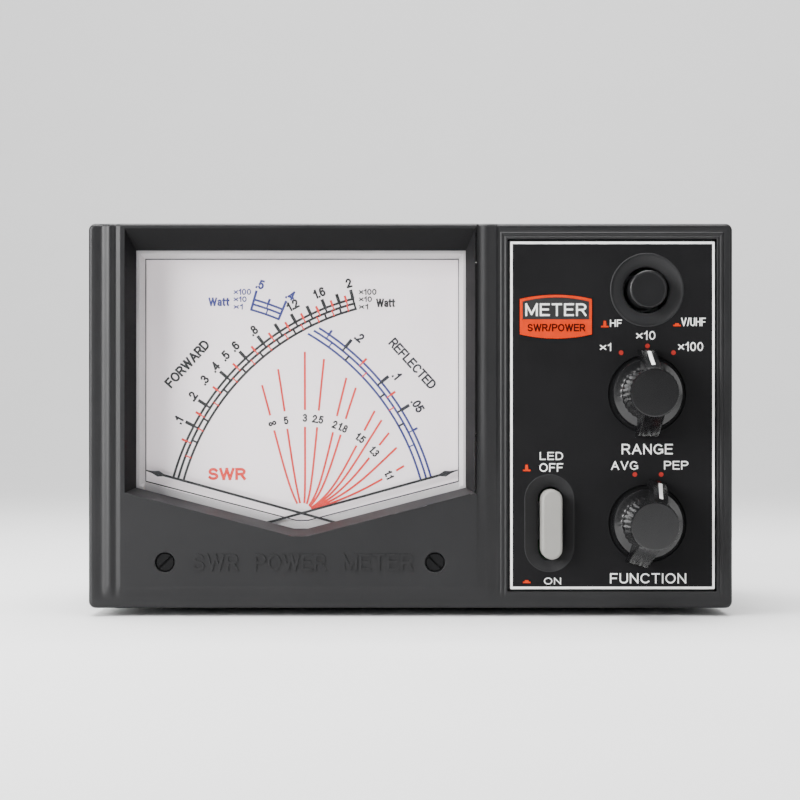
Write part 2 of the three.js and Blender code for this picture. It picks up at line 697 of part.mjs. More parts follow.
function addButton(name, place, cap, material) {
  const spot = [place.x, 0, place.z];
  add(`${name}_button`, cap, material, spot);
  add(`${name}_plunger`, plunger(place.back), WHITE_PLASTIC, spot);
  add(`${name}_switch`, pushSwitch(), STEEL, spot);
}

function addControls() {
  add('control_panel', controlPanel(), PANEL_BLACK);
  addRotary('range', RANGE);
  addRotary('function', FUNCTION);
  addButton('band', BAND, bandCap(), BLACK_ABS);
  addButton('light', LIGHT, lightCap(), CAP_GREY);
  add('switch_board', switchBoard(), BOARD_GREEN);
}

// ---------- rear ----------

// Square flange and threaded barrel of a UHF socket.
function socketShell() {
  const s = SOCKET;
  const half = s.flange / 2;
  const front = REAR_PANEL.back + GAP;
  const flange = slab(roundedRectangle(-half, half, -half, half, 2), front, front + 1.6, 2);
  const barrel = rod(0, 0, s.barrel, front + 1, s.tip - s.rim, 24);
  const rim = post(0, 0, s.barrel, s.tip - s.rim, s.tip, s.barrel - s.rim, 24);
  const wide = rod(0, 0, s.bore, s.boreFloor, s.tip + 1, 20);
  const narrow = rod(0, 0, s.neck, front - 1, s.tip, 16);
  return cut(join(flange, barrel, rim), wide, narrow);
}

function socketInsulator() {
  const outer = SOCKET.neck - GAP;
  const inner = SOCKET.contact + GAP;
  const { front, back } = INSULATOR;
  return turned([[inner, front], [outer, front], [outer, back], [inner, back], [inner, front]], 16);
}

// A tube for the plug's pin, with a solder pin behind.
function socketContact() {
  const r = SOCKET.contact;
  return turned([[0, 68], [1.4, 68], [1.4, 74], [r, 74], [r, 92], [2.05, 92], [2.05, 80], [0, 80]], 12);
}

function dcJack() {
  const { nut, neck: neckRadius, bore, pin, front: bodyFront, tip } = JACK;
  const front = REAR_PANEL.back + GAP;
  const flange = rod(0, 0, nut, front, tip, 6);
  const neck = rod(0, 0, neckRadius, REAR_PANEL.front - 1, front + 1, 16);
  const body = block(-4.5, 4.5, bodyFront, REAR_PANEL.front - GAP, -5.5, 5.5);
  const hollow = rod(0, 0, bore, bodyFront + 5, tip + 1, 16);
  const centrePin = rod(0, 0, pin, bodyFront + 4, tip - 1.5, 8);
  return join(cut(join(flange, neck, body), hollow), centrePin);
}

// A tinned box, open towards the rear panel, around one pair of sockets.
function sensorBox() {
  const s = SENSOR;
  const outer = block(s.inner, s.outer, s.front, s.back, s.bottom, s.top);
  const w = s.wall;
  const hollow = block(s.inner + w, s.outer - w, s.front + w, s.back + 1, s.bottom + w, s.top - w);
  return cut(outer, hollow);
}

function addRear() {
  for (const [name, x] of Object.entries(SOCKET_X)) {
    const spot = [x, 0, SOCKET.z];
    add(`${name}_socket_shell`, socketShell(), NICKEL, spot);
    add(`${name}_socket_insulator`, socketInsulator(), PTFE, spot);
    add(`${name}_socket_contact`, socketContact(), BRASS, spot);
  }
  add('dc_jack', dcJack(), BLACK_ABS, [JACK.x, 0, JACK.z]);
  add('hf_sensor_box', sensorBox(), TIN);
  add('vuhf_sensor_box', sensorBox(), TIN, [-SENSOR.inner - SENSOR.outer, 0, 0]);
}

addCasing();
addMeter();
addControls();
addRear();

export default assembly;
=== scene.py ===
"""Looks of a desktop cross-needle SWR and power meter for amateur radio, laid out as a Blender add-on.

Property groups hold the sizes and colours that a user would change, one operator makes each group of pieces,
and a sidebar panel lists them. Sizes inside the code are millimetres of the front view: x to the right,
z up from the table, and depth backwards from the raised face of the front moulding.
"""

import math

import bmesh
import bpy
from bpy.props import FloatProperty, FloatVectorProperty, IntProperty, PointerProperty
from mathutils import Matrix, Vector
from mathutils.geometry import tessellate_polygon


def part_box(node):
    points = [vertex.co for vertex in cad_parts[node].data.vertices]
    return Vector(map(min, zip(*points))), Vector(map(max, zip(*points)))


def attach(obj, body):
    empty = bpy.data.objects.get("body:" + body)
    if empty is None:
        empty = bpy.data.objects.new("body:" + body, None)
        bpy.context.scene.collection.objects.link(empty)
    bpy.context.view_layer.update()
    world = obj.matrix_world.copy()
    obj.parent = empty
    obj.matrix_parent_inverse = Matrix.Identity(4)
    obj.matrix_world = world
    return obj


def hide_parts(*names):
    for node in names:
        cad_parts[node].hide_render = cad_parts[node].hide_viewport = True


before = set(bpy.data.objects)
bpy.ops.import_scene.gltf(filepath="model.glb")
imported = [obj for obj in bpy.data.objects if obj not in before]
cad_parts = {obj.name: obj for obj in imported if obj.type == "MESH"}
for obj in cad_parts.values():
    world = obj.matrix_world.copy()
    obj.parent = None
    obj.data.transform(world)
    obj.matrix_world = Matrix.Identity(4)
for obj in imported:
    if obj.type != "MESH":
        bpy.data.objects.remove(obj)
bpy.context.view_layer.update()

bl_info = {
    "name": "Cross-needle SWR meter",
    "version": (1, 0, 0),
    "blender": (4, 5, 0),
    "location": "View3D > Sidebar > SWR meter",
    "description": "Makes the visible pieces, finishes and studio of a cross-needle SWR meter",
    "category": "Object",
}

MM = 0.001
FACE_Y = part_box("front_bezel")[0].y  # the raised face of the front moulding
SHARP = math.radians(32)  # edges that turn by more than this stay crisp

# The moulding's front, in millimetres of the front view.
HALF_WIDTH, BOTTOM, TOP = 77.5, 2.0, 94.6
CORNER = 1.6
FIELD_LEFT, FIELD_RIGHT, FIELD_TOP, FIELD_BOTTOM = -68.7, 15.87, 93.4, 7.5
POCKET = {"left": 23.35, "right": 73.6, "bottom": 6.1, "top": 90.8}

# The meter opening and its layers.
WINDOW = {"left": -66.5, "right": 13.4, "top": 88.4, "apex": 21.0, "rise": 9.95, "flat": 1.7}
METER_X = (WINDOW["left"] + WINDOW["right"]) / 2
OPENING_DEPTH = 4.2
DIAL_DEPTH = 10.4
PIVOT_OFFSET, PIVOT_Z = 28.8, 16.6
REST_DEGREES = 15.4
SCREW_HOLES = [(METER_X - 32.45, 13.1), (METER_X + 32.45, 13.1)]

# The controls.
PANEL_DEPTH = 0.6
RANGE_KNOB = {"x": 56.9, "z": 53.6, "turn": 0.0}
FUNCTION_KNOB = {"x": 57.0, "z": 22.4, "turn": 15.0}
BAND_BUTTON = {"x": 56.9, "z": 78.6}
LAMP_BUTTON = {"x": 33.8, "z": 22.3, "width": 5.0, "height": 16.8, "front": -3.4}
LAMP_DISH = {"x": 33.4, "z": 22.5, "width": 11.4, "height": 23.0}

SOCKETS = {"hf_tx": 54.0, "hf_ant": 18.0, "vuhf_tx": -18.0, "vuhf_ant": -54.0}
SOCKET_Z = 28.0
REAR_DEPTH = 79.2
JACK = {"x": 0.0, "z": 64.0}


# ---------------------------------------------------------------- colours and nodes


def linear(code):
    """Linear RGB of an sRGB hex colour."""
    parts = [int(code[i : i + 2], 16) / 255 for i in (1, 3, 5)]
    return tuple(c / 12.92 if c <= 0.04045 else ((c + 0.055) / 1.055) ** 2.4 for c in parts)


def shaded(colour, factor):
    """A colour made lighter or darker, with full alpha, for a node's socket."""
    return (*(min(1.0, c * factor) for c in colour[:3]), 1.0)


def add_node(tree, kind, inputs=None, **settings):
    """Adds a node, sets its settings, and fills or links its inputs."""
    made = tree.nodes.new(kind)
    for key, value in settings.items():
        setattr(made, key, value)
    for key, value in (inputs or {}).items():
        if isinstance(value, bpy.types.NodeSocket):
            tree.links.new(value, made.inputs[key])
        else:
            made.inputs[key].default_value = value
    return made


def principled(name, colour, roughness, **sockets):
    """A new material with one Principled shader; returns the material, its tree and the shader."""
    made = bpy.data.materials.new(name)
    made.use_nodes = True
    tree = made.node_tree
    tree.nodes.clear()
    inputs = {"Base Color": shaded(colour, 1), "Roughness": roughness}
    inputs.update({key.replace("_", " "): value for key, value in sockets.items()})
    shader = add_node(tree, "ShaderNodeBsdfPrincipled", inputs)
    add_node(tree, "ShaderNodeOutputMaterial", {"Surface": shader.outputs["BSDF"]})
    return made, tree, shader


def speckle(tree, size_mm, detail, stretch):
    """A soft random pattern whose blotches are about size_mm across; returns its value from 0 to 1."""
    place = add_node(tree, "ShaderNodeTexCoord")
    scaled = add_node(
        tree, "ShaderNodeMapping", {"Vector": place.outputs["Object"], "Scale": stretch}
    )
    pattern = add_node(
        tree,
        "ShaderNodeTexNoise",
        {"Vector": scaled.outputs["Vector"], "Scale": 1 / (size_mm * MM), "Detail": detail},
    )
    return pattern.outputs["Fac"]


def mottle(tree, shader, size_mm, colour, spread, sheen, detail=4.0, stretch=(1, 1, 1)):
    """Patches about size_mm across, as handling and the process leave them: the colour strays by the share
    `spread` either way, and the roughness between the two values of `sheen`."""
    patches = speckle(tree, size_mm, detail, stretch)
    ramp = add_node(tree, "ShaderNodeValToRGB", {"Fac": patches})
    dark, light = ramp.color_ramp.elements
    dark.position, dark.color = 0.3, shaded(colour, 1 - spread)
    light.position, light.color = 0.7, shaded(colour, 1 + spread)
    tree.links.new(ramp.outputs["Color"], shader.inputs["Base Color"])
    smooth, rough = sheen
    span = add_node(
        tree,
        "ShaderNodeMapRange",
        {"Value": patches, "From Min": 0.3, "From Max": 0.7, "To Min": smooth, "To Max": rough},
    )
    tree.links.new(span.outputs["Result"], shader.inputs["Roughness"])


def grain(tree, shader, size_mm, depth_mm, strength=0.35, detail=2.0, stretch=(1, 1, 1)):
    """A relief of grains about size_mm across and depth_mm deep."""
    bump = add_node(
        tree,
        "ShaderNodeBump",
        {
            "Height": speckle(tree, size_mm, detail, stretch),
            "Distance": depth_mm * MM,
            "Strength": strength,
        },
    )
    tree.links.new(bump.outputs["Normal"], shader.inputs["Normal"])


def moulded_plastic(name, colour, roughness, grain_mm=0.3, relief_mm=0.02, ior=1.5, gloss=0.22):
    """Injection-moulded ABS or polystyrene: the spark-eroded tool leaves a fine even grain that softens
    reflections, and handling polishes it in patches. The grain is drawn a little coarse so that it shows."""
    made, tree, shader = principled(name, colour, roughness, IOR=ior, Specular_IOR_Level=gloss)
    mottle(tree, shader, 14, colour, 0.06, (roughness - 0.04, roughness + 0.05))
    grain(tree, shader, grain_mm, relief_mm)
    return made


def matt_lacquer(name, colour):
    """Sprayed panel lacquer: an even velvety black with a hint of orange peel and a few rubbed patches."""
    made, tree, shader = principled(name, colour, 0.6, IOR=1.45, Specular_IOR_Level=0.1)
    mottle(tree, shader, 9, colour, 0.1, (0.56, 0.68), detail=5)
    grain(tree, shader, 0.45, 0.012)
    return made


def screen_ink(name, colour, gloss=0.5):
    """Screen-printed ink: opaque and slightly satin, its film a touch uneven in density."""
    made, tree, shader = principled(name, colour, 0.5, IOR=1.48, Specular_IOR_Level=gloss)
    mottle(tree, shader, 1.6, colour, 0.07, (0.45, 0.55), detail=3)
    return made


def painted_steel(name, colour):
    """Powder-coated sheet steel: a fine pebbled skin that breaks up highlights."""
    made, tree, shader = principled(name, colour, 0.5, IOR=1.5)
    mottle(tree, shader, 22, colour, 0.08, (0.46, 0.56))
    grain(tree, shader, 0.7, 0.05, 0.4, detail=1)
    return made


def bare_metal(name, colour, roughness, grain_mm=0.25, stretch=(1, 1, 1)):
    """Plated, drawn or turned metal: mirror-like under a fine tool grain, duller where it was handled."""
    made, tree, shader = principled(name, colour, roughness, Metallic=1.0)
    mottle(tree, shader, 5, colour, 0.06, (roughness - 0.06, roughness + 0.08))
    grain(tree, shader, grain_mm, 0.006, stretch=stretch)
    return made


def dial_enamel(name, colour):
    """Stove-enamelled aluminium dial: matt and nearly white, very slightly mottled, warmer in places."""
    made, tree, shader = principled(name, colour, 0.55, IOR=1.5)
    mottle(tree, shader, 18, colour, 0.02, (0.5, 0.62), detail=3)
    grain(tree, shader, 0.5, 0.006)
    return made


def clear_acrylic(name, colour):
    """Cast acrylic pane: almost invisible, with a soft shine where it catches a lamp and faint wipe marks."""
    made, tree, shader = principled(name, colour, 0.06, IOR=1.49, Alpha=0.04)
    mottle(tree, shader, 6, colour, 0.05, (0.04, 0.1), stretch=(1, 1, 6))
    return made


def soft_rubber(name, colour):
    """Moulded rubber foot: dull, powdery, with a fine skin."""
    made, tree, shader = principled(name, colour, 0.88, IOR=1.52)
    mottle(tree, shader, 2, colour, 0.2, (0.84, 0.92))
    grain(tree, shader, 0.4, 0.03, 0.4)
    return made


def circuit_laminate(name, colour):
    """Solder-masked glass-epoxy board: glossy green over a faint woven cloth."""
    made, tree, shader = principled(name, colour, 0.35, IOR=1.55)
    mottle(tree, shader, 3, colour, 0.15, (0.3, 0.4))
    grain(tree, shader, 0.5, 0.01, detail=1)
    return made


# ---------------------------------------------------------------- outlines of the front view


def circle(x, z, radius, sides):
    """Points of a circle."""
    steps = [2 * math.pi * i / sides for i in range(sides)]
    return [(x + radius * math.cos(a), z + radius * math.sin(a)) for a in steps]


def rounded_rectangle(left, right, bottom, top, radius, steps=6):
    """Points of a rectangle with round corners, anticlockwise from the lower right corner."""
    corners = [
        (right - radius, bottom + radius, -90),
        (right - radius, top - radius, 0),
        (left + radius, top - radius, 90),
        (left + radius, bottom + radius, 180),
    ]
    points = []
    for x, z, start in corners:
        for i in range(steps + 1):
            angle = math.radians(start + 90 * i / steps)
            points.append((x + radius * math.cos(angle), z + radius * math.sin(angle)))
    return points


def stadium(x, z, width, height, steps=24):
    """Points of an upright bar with round ends."""
    radius = width / 2
    reach = height / 2 - radius
    points = []
    for centre, start in ((z + reach, 0), (z - reach, 180)):
        for i in range(steps + 1):
            angle = math.radians(start + 180 * i / steps)
            points.append((x + radius * math.cos(angle), centre + radius * math.sin(angle)))
    return points


def meter_outline(side=0.0, top=0.0, sill=0.0):
    """The meter's opening, each kind of edge moved outwards by its own distance."""
    w = WINDOW
    slope = w["rise"] / ((w["right"] - w["left"]) / 2 - w["flat"])
    slant = math.hypot(1, slope)
    flat = w["flat"] + sill * (slant - 1) / slope
    corner = w["apex"] + w["rise"] - sill * slant + side * slope
    return [
        (METER_X - flat, w["apex"] - sill),
        (METER_X + flat, w["apex"] - sill),
        (w["right"] + side, corner),
        (w["right"] + side, w["top"] + top),
        (w["left"] - side, w["top"] + top),
        (w["left"] - side, corner),
    ]


def turned_about(points, x, z, degrees):
    """Points turned clockwise, as the front is seen, about (x, z)."""
    c, s = math.cos(math.radians(degrees)), math.sin(math.radians(degrees))
    return [
        (x + (px - x) * c + (pz - z) * s, z - (px - x) * s + (pz - z) * c) for px, pz in points
    ]


# ---------------------------------------------------------------- meshes


def spot(x, depth, z):
    """A point of the front view in the row's frame, in metres."""
    return Vector((x * MM, FACE_Y + depth * MM, z * MM))


def ring_at(outline, depth):
    """An outline laid at one depth."""
    return [(x, depth, z) for x, z in outline]


def loft(bm, rings, closed=True, material=0):
    """Skins a series of rings that have equal numbers of points; returns the rings' vertices."""
    rows = [[bm.verts.new(spot(*point)) for point in ring] for ring in rings]
    for low, high in zip(rows, rows[1:]):
        count = len(low)
        for i in range(count if closed else count - 1):
            j = (i + 1) % count
            face = bm.faces.new((low[i], low[j], high[j], high[i]))
            face.material_index = material
    return rows


def close_ring(bm, ring, material=0):
    """Fills one ring of vertices with a flat face."""
    face = bm.faces.new(ring)
    face.material_index = material
    return face


def plate(bm, outlines, depth, material=0):
    """A flat face at one depth; the first outline bounds it and the others are holes."""
    flat = [[Vector((x, z, 0)) for x, z in outline] for outline in outlines]
    verts = [bm.verts.new(spot(p.x, depth, p.y)) for outline in flat for p in outline]
    for triangle in tessellate_polygon(flat):
        face = bm.faces.new([verts[i] for i in triangle])
        face.material_index = material


def turned(bm, profile, x, z, sides, material=0, closed_front=True, closed_back=False):
    """A profile of (radius, depth) points turned about the axis through (x, z)."""
    rings = [ring_at(circle(x, z, radius, sides), depth) for radius, depth in profile]
    rows = loft(bm, rings, material=material)
    if closed_front:
        close_ring(bm, rows[0], material)
    if closed_back:
        close_ring(bm, rows[-1], material)
    return rows


def shown(name, bm, materials, body, replaces=(), rounded=True):
    """Turns a mesh under construction into a piece that rides on a body of the frame."""
    if rounded:
        bmesh.ops.remove_doubles(bm, verts=bm.verts, dist=1e-7)
        bmesh.ops.recalc_face_normals(bm, faces=bm.faces)
        for edge in bm.edges:
            edge.smooth = len(edge.link_faces) == 2 and edge.calc_face_angle(0) < SHARP
    for face in bm.faces:
        face.smooth = rounded
    mesh = bpy.data.meshes.new(name)
    bm.to_mesh(mesh)
    bm.free()
    for finish in materials:
        mesh.materials.append(finish)
    piece = bpy.data.objects.new(name, mesh)
    bpy.context.scene.collection.objects.link(piece)
    if rounded:
        soften = piece.modifiers.new("Weighted normals", "WEIGHTED_NORMAL")
        soften.keep_sharp = True
    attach(piece, body)
    if replaces:
        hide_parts(*replaces)
    return piece


def carry(node, finish, bevel_mm=0.0, segments=2):
    """Gives a CAD node its finish and, where asked, softened edges."""
    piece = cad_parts.get(node)
    if piece is None:
        raise RuntimeError(f"the frame has no node named {node}")
    piece.data.materials.clear()
    piece.data.materials.append(finish)
    if bevel_mm:
        bevel = piece.modifiers.new("Softened edges", "BEVEL")
        bevel.width = bevel_mm * MM
        bevel.segments = segments
        bevel.limit_method = "ANGLE"
        bevel.angle_limit = math.radians(40)
        bevel.harden_normals = True
        bevel.use_clamp_overlap = True
    return piece


# ---------------------------------------------------------------- lettering and line work


def bow(x, z, across, up, start, stop, steps=10):
    """Points of an elliptical arc from one angle to another, in degrees."""
    angles = [math.radians(start + (stop - start) * i / steps) for i in range(steps + 1)]
    return [(x + across * math.cos(a), z + up * math.sin(a)) for a in angles]


def lying_eight():
    """The closed line of an infinity sign."""
    points = []
    for i in range(25):
        t = 2 * math.pi * i / 24
        reach = 0.55 / (1 + math.sin(t) ** 2)
        points.append((0.55 + reach * math.cos(t), 0.45 + 1.15 * reach * math.sin(t) * math.cos(t)))
    return points


# The pen's path for each plain grotesque letter, in cap heights: the letter's width and its strokes.
HEAD = [[(0, 0), (0, 1)], [(0, 1), (0.34, 1), *bow(0.34, 0.74, 0.25, 0.26, 90, -90), (0, 0.48)]]
LETTERS = {
    "A": (0.7, [[(0, 0), (0.35, 1), (0.7, 0)], [(0.13, 0.34), (0.57, 0.34)]]),
    "C": (0.66, [bow(0.36, 0.5, 0.36, 0.5, 42, 318)]),
    "D": (0.64, [[(0, 0), (0, 1), (0.28, 1), *bow(0.28, 0.5, 0.36, 0.5, 90, -90), (0, 0)]]),
    "E": (0.56, [[(0.56, 1), (0, 1), (0, 0), (0.56, 0)], [(0, 0.52), (0.5, 0.52)]]),
    "F": (0.52, [[(0.52, 1), (0, 1), (0, 0)], [(0, 0.5), (0.45, 0.5)]]),
    "G": (0.7, [[*bow(0.36, 0.5, 0.36, 0.5, 46, 320), (0.7, 0.14), (0.7, 0.46), (0.42, 0.46)]]),
    "H": (0.6, [[(0, 0), (0, 1)], [(0.6, 0), (0.6, 1)], [(0, 0.52), (0.6, 0.52)]]),
    "I": (0.02, [[(0.01, 0), (0.01, 1)]]),
    "L": (0.5, [[(0, 1), (0, 0), (0.5, 0)]]),
    "M": (0.74, [[(0, 0), (0, 1), (0.37, 0.1), (0.74, 1), (0.74, 0)]]),
    "N": (0.6, [[(0, 0), (0, 1), (0.6, 0), (0.6, 1)]]),
    "O": (0.74, [bow(0.37, 0.5, 0.37, 0.5, 0, 360, 20)]),
    "P": (0.58, HEAD),
    "R": (0.6, [*HEAD, [(0.34, 0.48), (0.6, 0)]]),
    "S": (0.58, [[*bow(0.29, 0.75, 0.26, 0.25, 25, 270), *bow(0.29, 0.25, 0.29, 0.25, 80, -155)]]),
    "T": (0.58, [[(0, 1), (0.58, 1)], [(0.29, 1), (0.29, 0)]]),
    "U": (0.58, [[(0, 1), (0, 0.29), *bow(0.29, 0.29, 0.29, 0.29, 190, 350), (0.58, 0.29), (0.58, 1)]]),
    "V": (0.66, [[(0, 1), (0.33, 0), (0.66, 1)]]),
    "W": (0.96, [[(0, 1), (0.24, 0), (0.48, 1), (0.72, 0), (0.96, 1)]]),
    "X": (0.62, [[(0, 1), (0.62, 0)], [(0, 0), (0.62, 1)]]),
    "a": (0.4, [[*bow(0.2, 0.54, 0.19, 0.18, 150, 0), (0.39, 0)], bow(0.19, 0.19, 0.19, 0.19, 0, 360, 14)]),
    "t": (0.26, [[(0.1, 0.95), (0.1, 0.12), *bow(0.2, 0.12, 0.1, 0.12, 190, 270)], [(0, 0.7), (0.26, 0.7)]]),
    "/": (0.24, [[(0, 0), (0.24, 1)]]),
    ".": (0.02, [[(0.01, 0), (0.01, 0.03)]]),
    "×": (0.5, [[(0, 0.18), (0.5, 0.72)], [(0, 0.72), (0.5, 0.18)]]),
    "∞": (1.1, [lying_eight()]),
    "0": (0.5, [bow(0.25, 0.5, 0.25, 0.5, 0, 360, 20)]),
    "1": (0.24, [[(0, 0.74), (0.12, 0.8), (0.22, 1), (0.22, 0)]]),
    "2": (0.5, [[*bow(0.25, 0.72, 0.24, 0.28, 170, -35), (0, 0), (0.5, 0)]]),
    "3": (0.48, [bow(0.23, 0.76, 0.22, 0.24, 155, -90), bow(0.23, 0.26, 0.25, 0.26, 90, -155)]),
    "4": (0.6, [[(0.44, 0), (0.44, 1), (0, 0.25), (0.6, 0.25)]]),
    "5": (0.5, [[(0.45, 1), (0.1, 1), (0.03, 0.52), *bow(0.24, 0.33, 0.26, 0.33, 125, -150)]]),
    "6": (0.5, [[*bow(0.27, 0.62, 0.26, 0.38, 45, 180), (0.01, 0.32)], bow(0.25, 0.31, 0.25, 0.31, 0, 360)]),
    "8": (0.5, [bow(0.25, 0.76, 0.21, 0.24, 0, 360, 16), bow(0.25, 0.27, 0.25, 0.27, 0, 360, 16)]),
}
LETTER_GAP, SPACE = 0.27, 0.4
SHARPEST_MITRE = math.radians(100)
INK_FILM = 0.002  # each stroke lies this much above the last, so that no two share a plane


def ribbon(bm, points, width, depth, material=0, overrun=0.5):
    """A printed line of one width along points of the front view, mitred, and square-ended past its first
    and last points by the share `overrun` of its width."""
    path = [Vector(point) for point in points]
    path = [path[0], *(b for a, b in zip(path, path[1:]) if (b - a).length > 1e-6)]
    looped = (path[0] - path[-1]).length < 1e-4
    if looped:
        path = [path[-2], *path[:-1], path[0], path[1]]
    else:
        first, last = (path[0] - path[1]).normalized(), (path[-1] - path[-2]).normalized()
        path[0] = path[0] + first * width * overrun
        path[-1] = path[-1] + last * width * overrun
        path = [2 * path[0] - path[1], *path, 2 * path[-1] - path[-2]]
    pairs = []
    for before, here, after in zip(path, path[1:], path[2:]):
        arriving, leaving = (here - before).normalized(), (after - here).normalized()
        along = (arriving + leaving).normalized()
        side = Vector((-along.y, along.x)) * width / 2 / along.dot(leaving)
        pairs.append([bm.verts.new(spot(p.x, depth, p.y)) for p in (here + side, here - side)])
    for a, b in zip(pairs, pairs[1:]):
        bm.faces.new((a[0], a[1], b[1], b[0])).material_index = material


def parted(path):
    """Cuts a pen stroke where it doubles back, because a corner as sharp as that can't be mitred."""
    parts, start = [], 0
    for i in range(1, len(path) - 1):
        before, here, after = (Vector(point) for point in path[i - 1 : i + 2])
        if (here - before).angle(after - here, 0) > SHARPEST_MITRE:
            parts.append(path[start : i + 1])
            start = i
    return [*parts, path[start:]]


def pen_paths(text):
    """The strokes of a word and the word's width, in cap heights."""
    strokes, place = [], 0.0
    for letter in text:
        if letter == " ":
            place += SPACE
            continue
        width, paths = LETTERS[letter]
        for path in paths:
            strokes += parted([(place + x, z) for x, z in path])
        place += width + LETTER_GAP
    return strokes, place - LETTER_GAP


def word(bm, text, box, depth, material=0, pen=0.3, turn=0.0):
    """Prints a word that fills the box (left, right, bottom, top) with a pen of one width."""
    left, right, bottom, top = box
    strokes, total = pen_paths(text)
    wide, high = (right - left - pen) / total, top - bottom - pen
    middle = ((left + right) / 2, (bottom + top) / 2)
    for layer, stroke in enumerate(strokes):
        points = [(left + pen / 2 + x * wide, bottom + pen / 2 + z * high) for x, z in stroke]
        ribbon(bm, turned_about(points, *middle, turn), pen, depth - layer * INK_FILM, material)


def label(bm, text, x, z, height, depth, material=0, pen=0.3, turn=0.0, squeeze=1.0):
    """Prints a word centred on (x, z), turned clockwise by `turn` degrees."""
    _, total = pen_paths(text)
    half = (total * (height - pen) * squeeze + pen) / 2
    word(bm, text, (x - half, x + half, z - height / 2, z + height / 2), depth, material, pen, turn)


def border(bm, outer, inner, depth, material=0):
    """A printed frame between two outlines with equal numbers of points."""
    loft(bm, [ring_at(outer, depth), ring_at(inner, depth)], material=material)


def dot(bm, x, z, radius, depth, material=0):
    """A printed round dot."""
    verts = [bm.verts.new(spot(px, depth, pz)) for px, pz in circle(x, z, radius, 20)]
    bm.faces.new(verts).material_index = material


# ---------------------------------------------------------------- settings


class CasingSettings(bpy.types.PropertyGroup):
    """Sizes and colours of the casing."""

    plastic: FloatVectorProperty(
        name="Moulding", description="Colour of the front", subtype="COLOR", default=linear("#1B1B1C")
    )
    cover: FloatVectorProperty(
        name="Cover", description="Colour of the steel cover", subtype="COLOR", default=linear("#1E1E20")
    )
    roughness: FloatProperty(
        name="Roughness", description="Sheen of the moulding", subtype="FACTOR", default=0.4, min=0, max=1
    )
    edge: FloatProperty(
        name="Edge radius", description="Rounding of the front edges", unit="LENGTH", default=1.0 * MM
    )


class DialSettings(bpy.types.PropertyGroup):
    """Colours and line widths of the meter's dial."""

    plate: FloatVectorProperty(
        name="Dial", description="Colour of the dial plate", subtype="COLOR", default=linear("#EFE6E9")
    )
    black: FloatVectorProperty(
        name="Black ink", description="Forward scale and numbers", subtype="COLOR", default=linear("#0C0B0C")
    )
    blue: FloatVectorProperty(
        name="Blue ink", description="Reflected scale", subtype="COLOR", default=linear("#23286C")
    )
    red: FloatVectorProperty(
        name="Red ink", description="Standing-wave curves", subtype="COLOR", default=linear("#CC2418")
    )
    arc_width: FloatProperty(
        name="Arc width", description="Width of the scale arcs", unit="LENGTH", default=0.6 * MM
    )
    curve_width: FloatProperty(
        name="Curve width", description="Width of the standing-wave curves", unit="LENGTH", default=0.52 * MM
    )


class ControlSettings(bpy.types.PropertyGroup):
    """Colours and details of the control panel."""

    panel: FloatVectorProperty(
        name="Panel", description="Colour of the control panel", subtype="COLOR", default=linear("#111112")
    )
    white: FloatVectorProperty(
        name="Legends", description="White legends and border", subtype="COLOR", default=linear("#E4E4E2")
    )
    orange: FloatVectorProperty(
        name="Badge", description="Orange of the badge and icons", subtype="COLOR", default=linear("#B62C00")
    )
    knob: FloatVectorProperty(
        name="Knobs", description="Colour of the knobs", subtype="COLOR", default=linear("#0E0E0F")
    )
    lamp_key: FloatVectorProperty(
        name="Lamp button", description="Long button", subtype="COLOR", default=linear("#807F7B")
    )
    flutes: IntProperty(name="Flutes", description="Grip flutes on a knob", default=30, min=12, max=60)


class StageSettings(bpy.types.PropertyGroup):
    """Floor, lamps and camera."""

    floor: FloatVectorProperty(
        name="Floor", description="Colour of the floor", subtype="COLOR", default=linear("#DCDCDC")
    )
    distance: FloatProperty(
        name="Camera distance", description="From the front face", unit="LENGTH", default=450 * MM
    )
    daylight: FloatProperty(
        name="Ambient light", description="Strength of the surroundings", default=0.1, min=0
    )
    key_power: FloatProperty(
        name="Key lamp", description="Power of the left softbox", unit="POWER", default=5.2
    )
    fill_power: FloatProperty(
        name="Fill lamp", description="Power of the right softbox", unit="POWER", default=1.3
    )
    top_power: FloatProperty(
        name="Top lamp", description="Power of the overhead softbox", unit="POWER", default=7.5
    )
    wall_power: FloatProperty(
        name="Wall lamp", description="Power of the backdrop's lamp", unit="POWER", default=48.0
    )
    floor_power: FloatProperty(
        name="Floor lamp", description="Power of the lamp over the near floor", unit="POWER", default=45.0
    )


# ---------------------------------------------------------------- casing

# Depth of the moulding across its left side: two soft ridges beside the window.
LEFT_PROFILE = [(-77.5, 0.7), (-76.3, 0.75), (-74.5, 0.95), (-72.2, 0.05), (-70.9, 0.5), (-69.7, 0)]
LEFT_PROFILE += [(-68.7, 0)]
# The rib between the meter and the panel, from the window's recess to the panel's frame.
RIB_PROFILE = [(15.87, 0), (16.4, 0.45), (18.3, 0), (20.9, 0.55)]
# The stepped frame round the panel, by the distance outside its pocket.
FRAME_PROFILE = [(0, 0.75), (0.12, 0.6), (0.27, 0.52), (0.5, 0.58), (0.8, 0.82), (1.0, 0.72)]
FRAME_PROFILE += [(1.25, 0.62), (1.5, 0.66), (1.8, 0.86), (2.2, 0.77), (3.0, 0.72)]
FLANK_DEPTH = 0.75  # the moulding outside the ridges, the rib and the frame
UNDER_POCKET = FLANK_DEPTH * 0.8  # the moulding just below the pocket
FADE_LOW, FADE_HIGH = 3.8, 7.4  # heights between which the ridges run out near the lower edge
FRAME_FADE = (4, 6)  # heights between which the front below the pocket falls back to the flank
RIB_RISE = (8, 45)  # heights over which the rib's near side grows to its full relief
RIB_SHOULDER = (16, 18.3)  # where the low end of the rib steps back, and by how much
RIB_STEP_BACK = 0.25
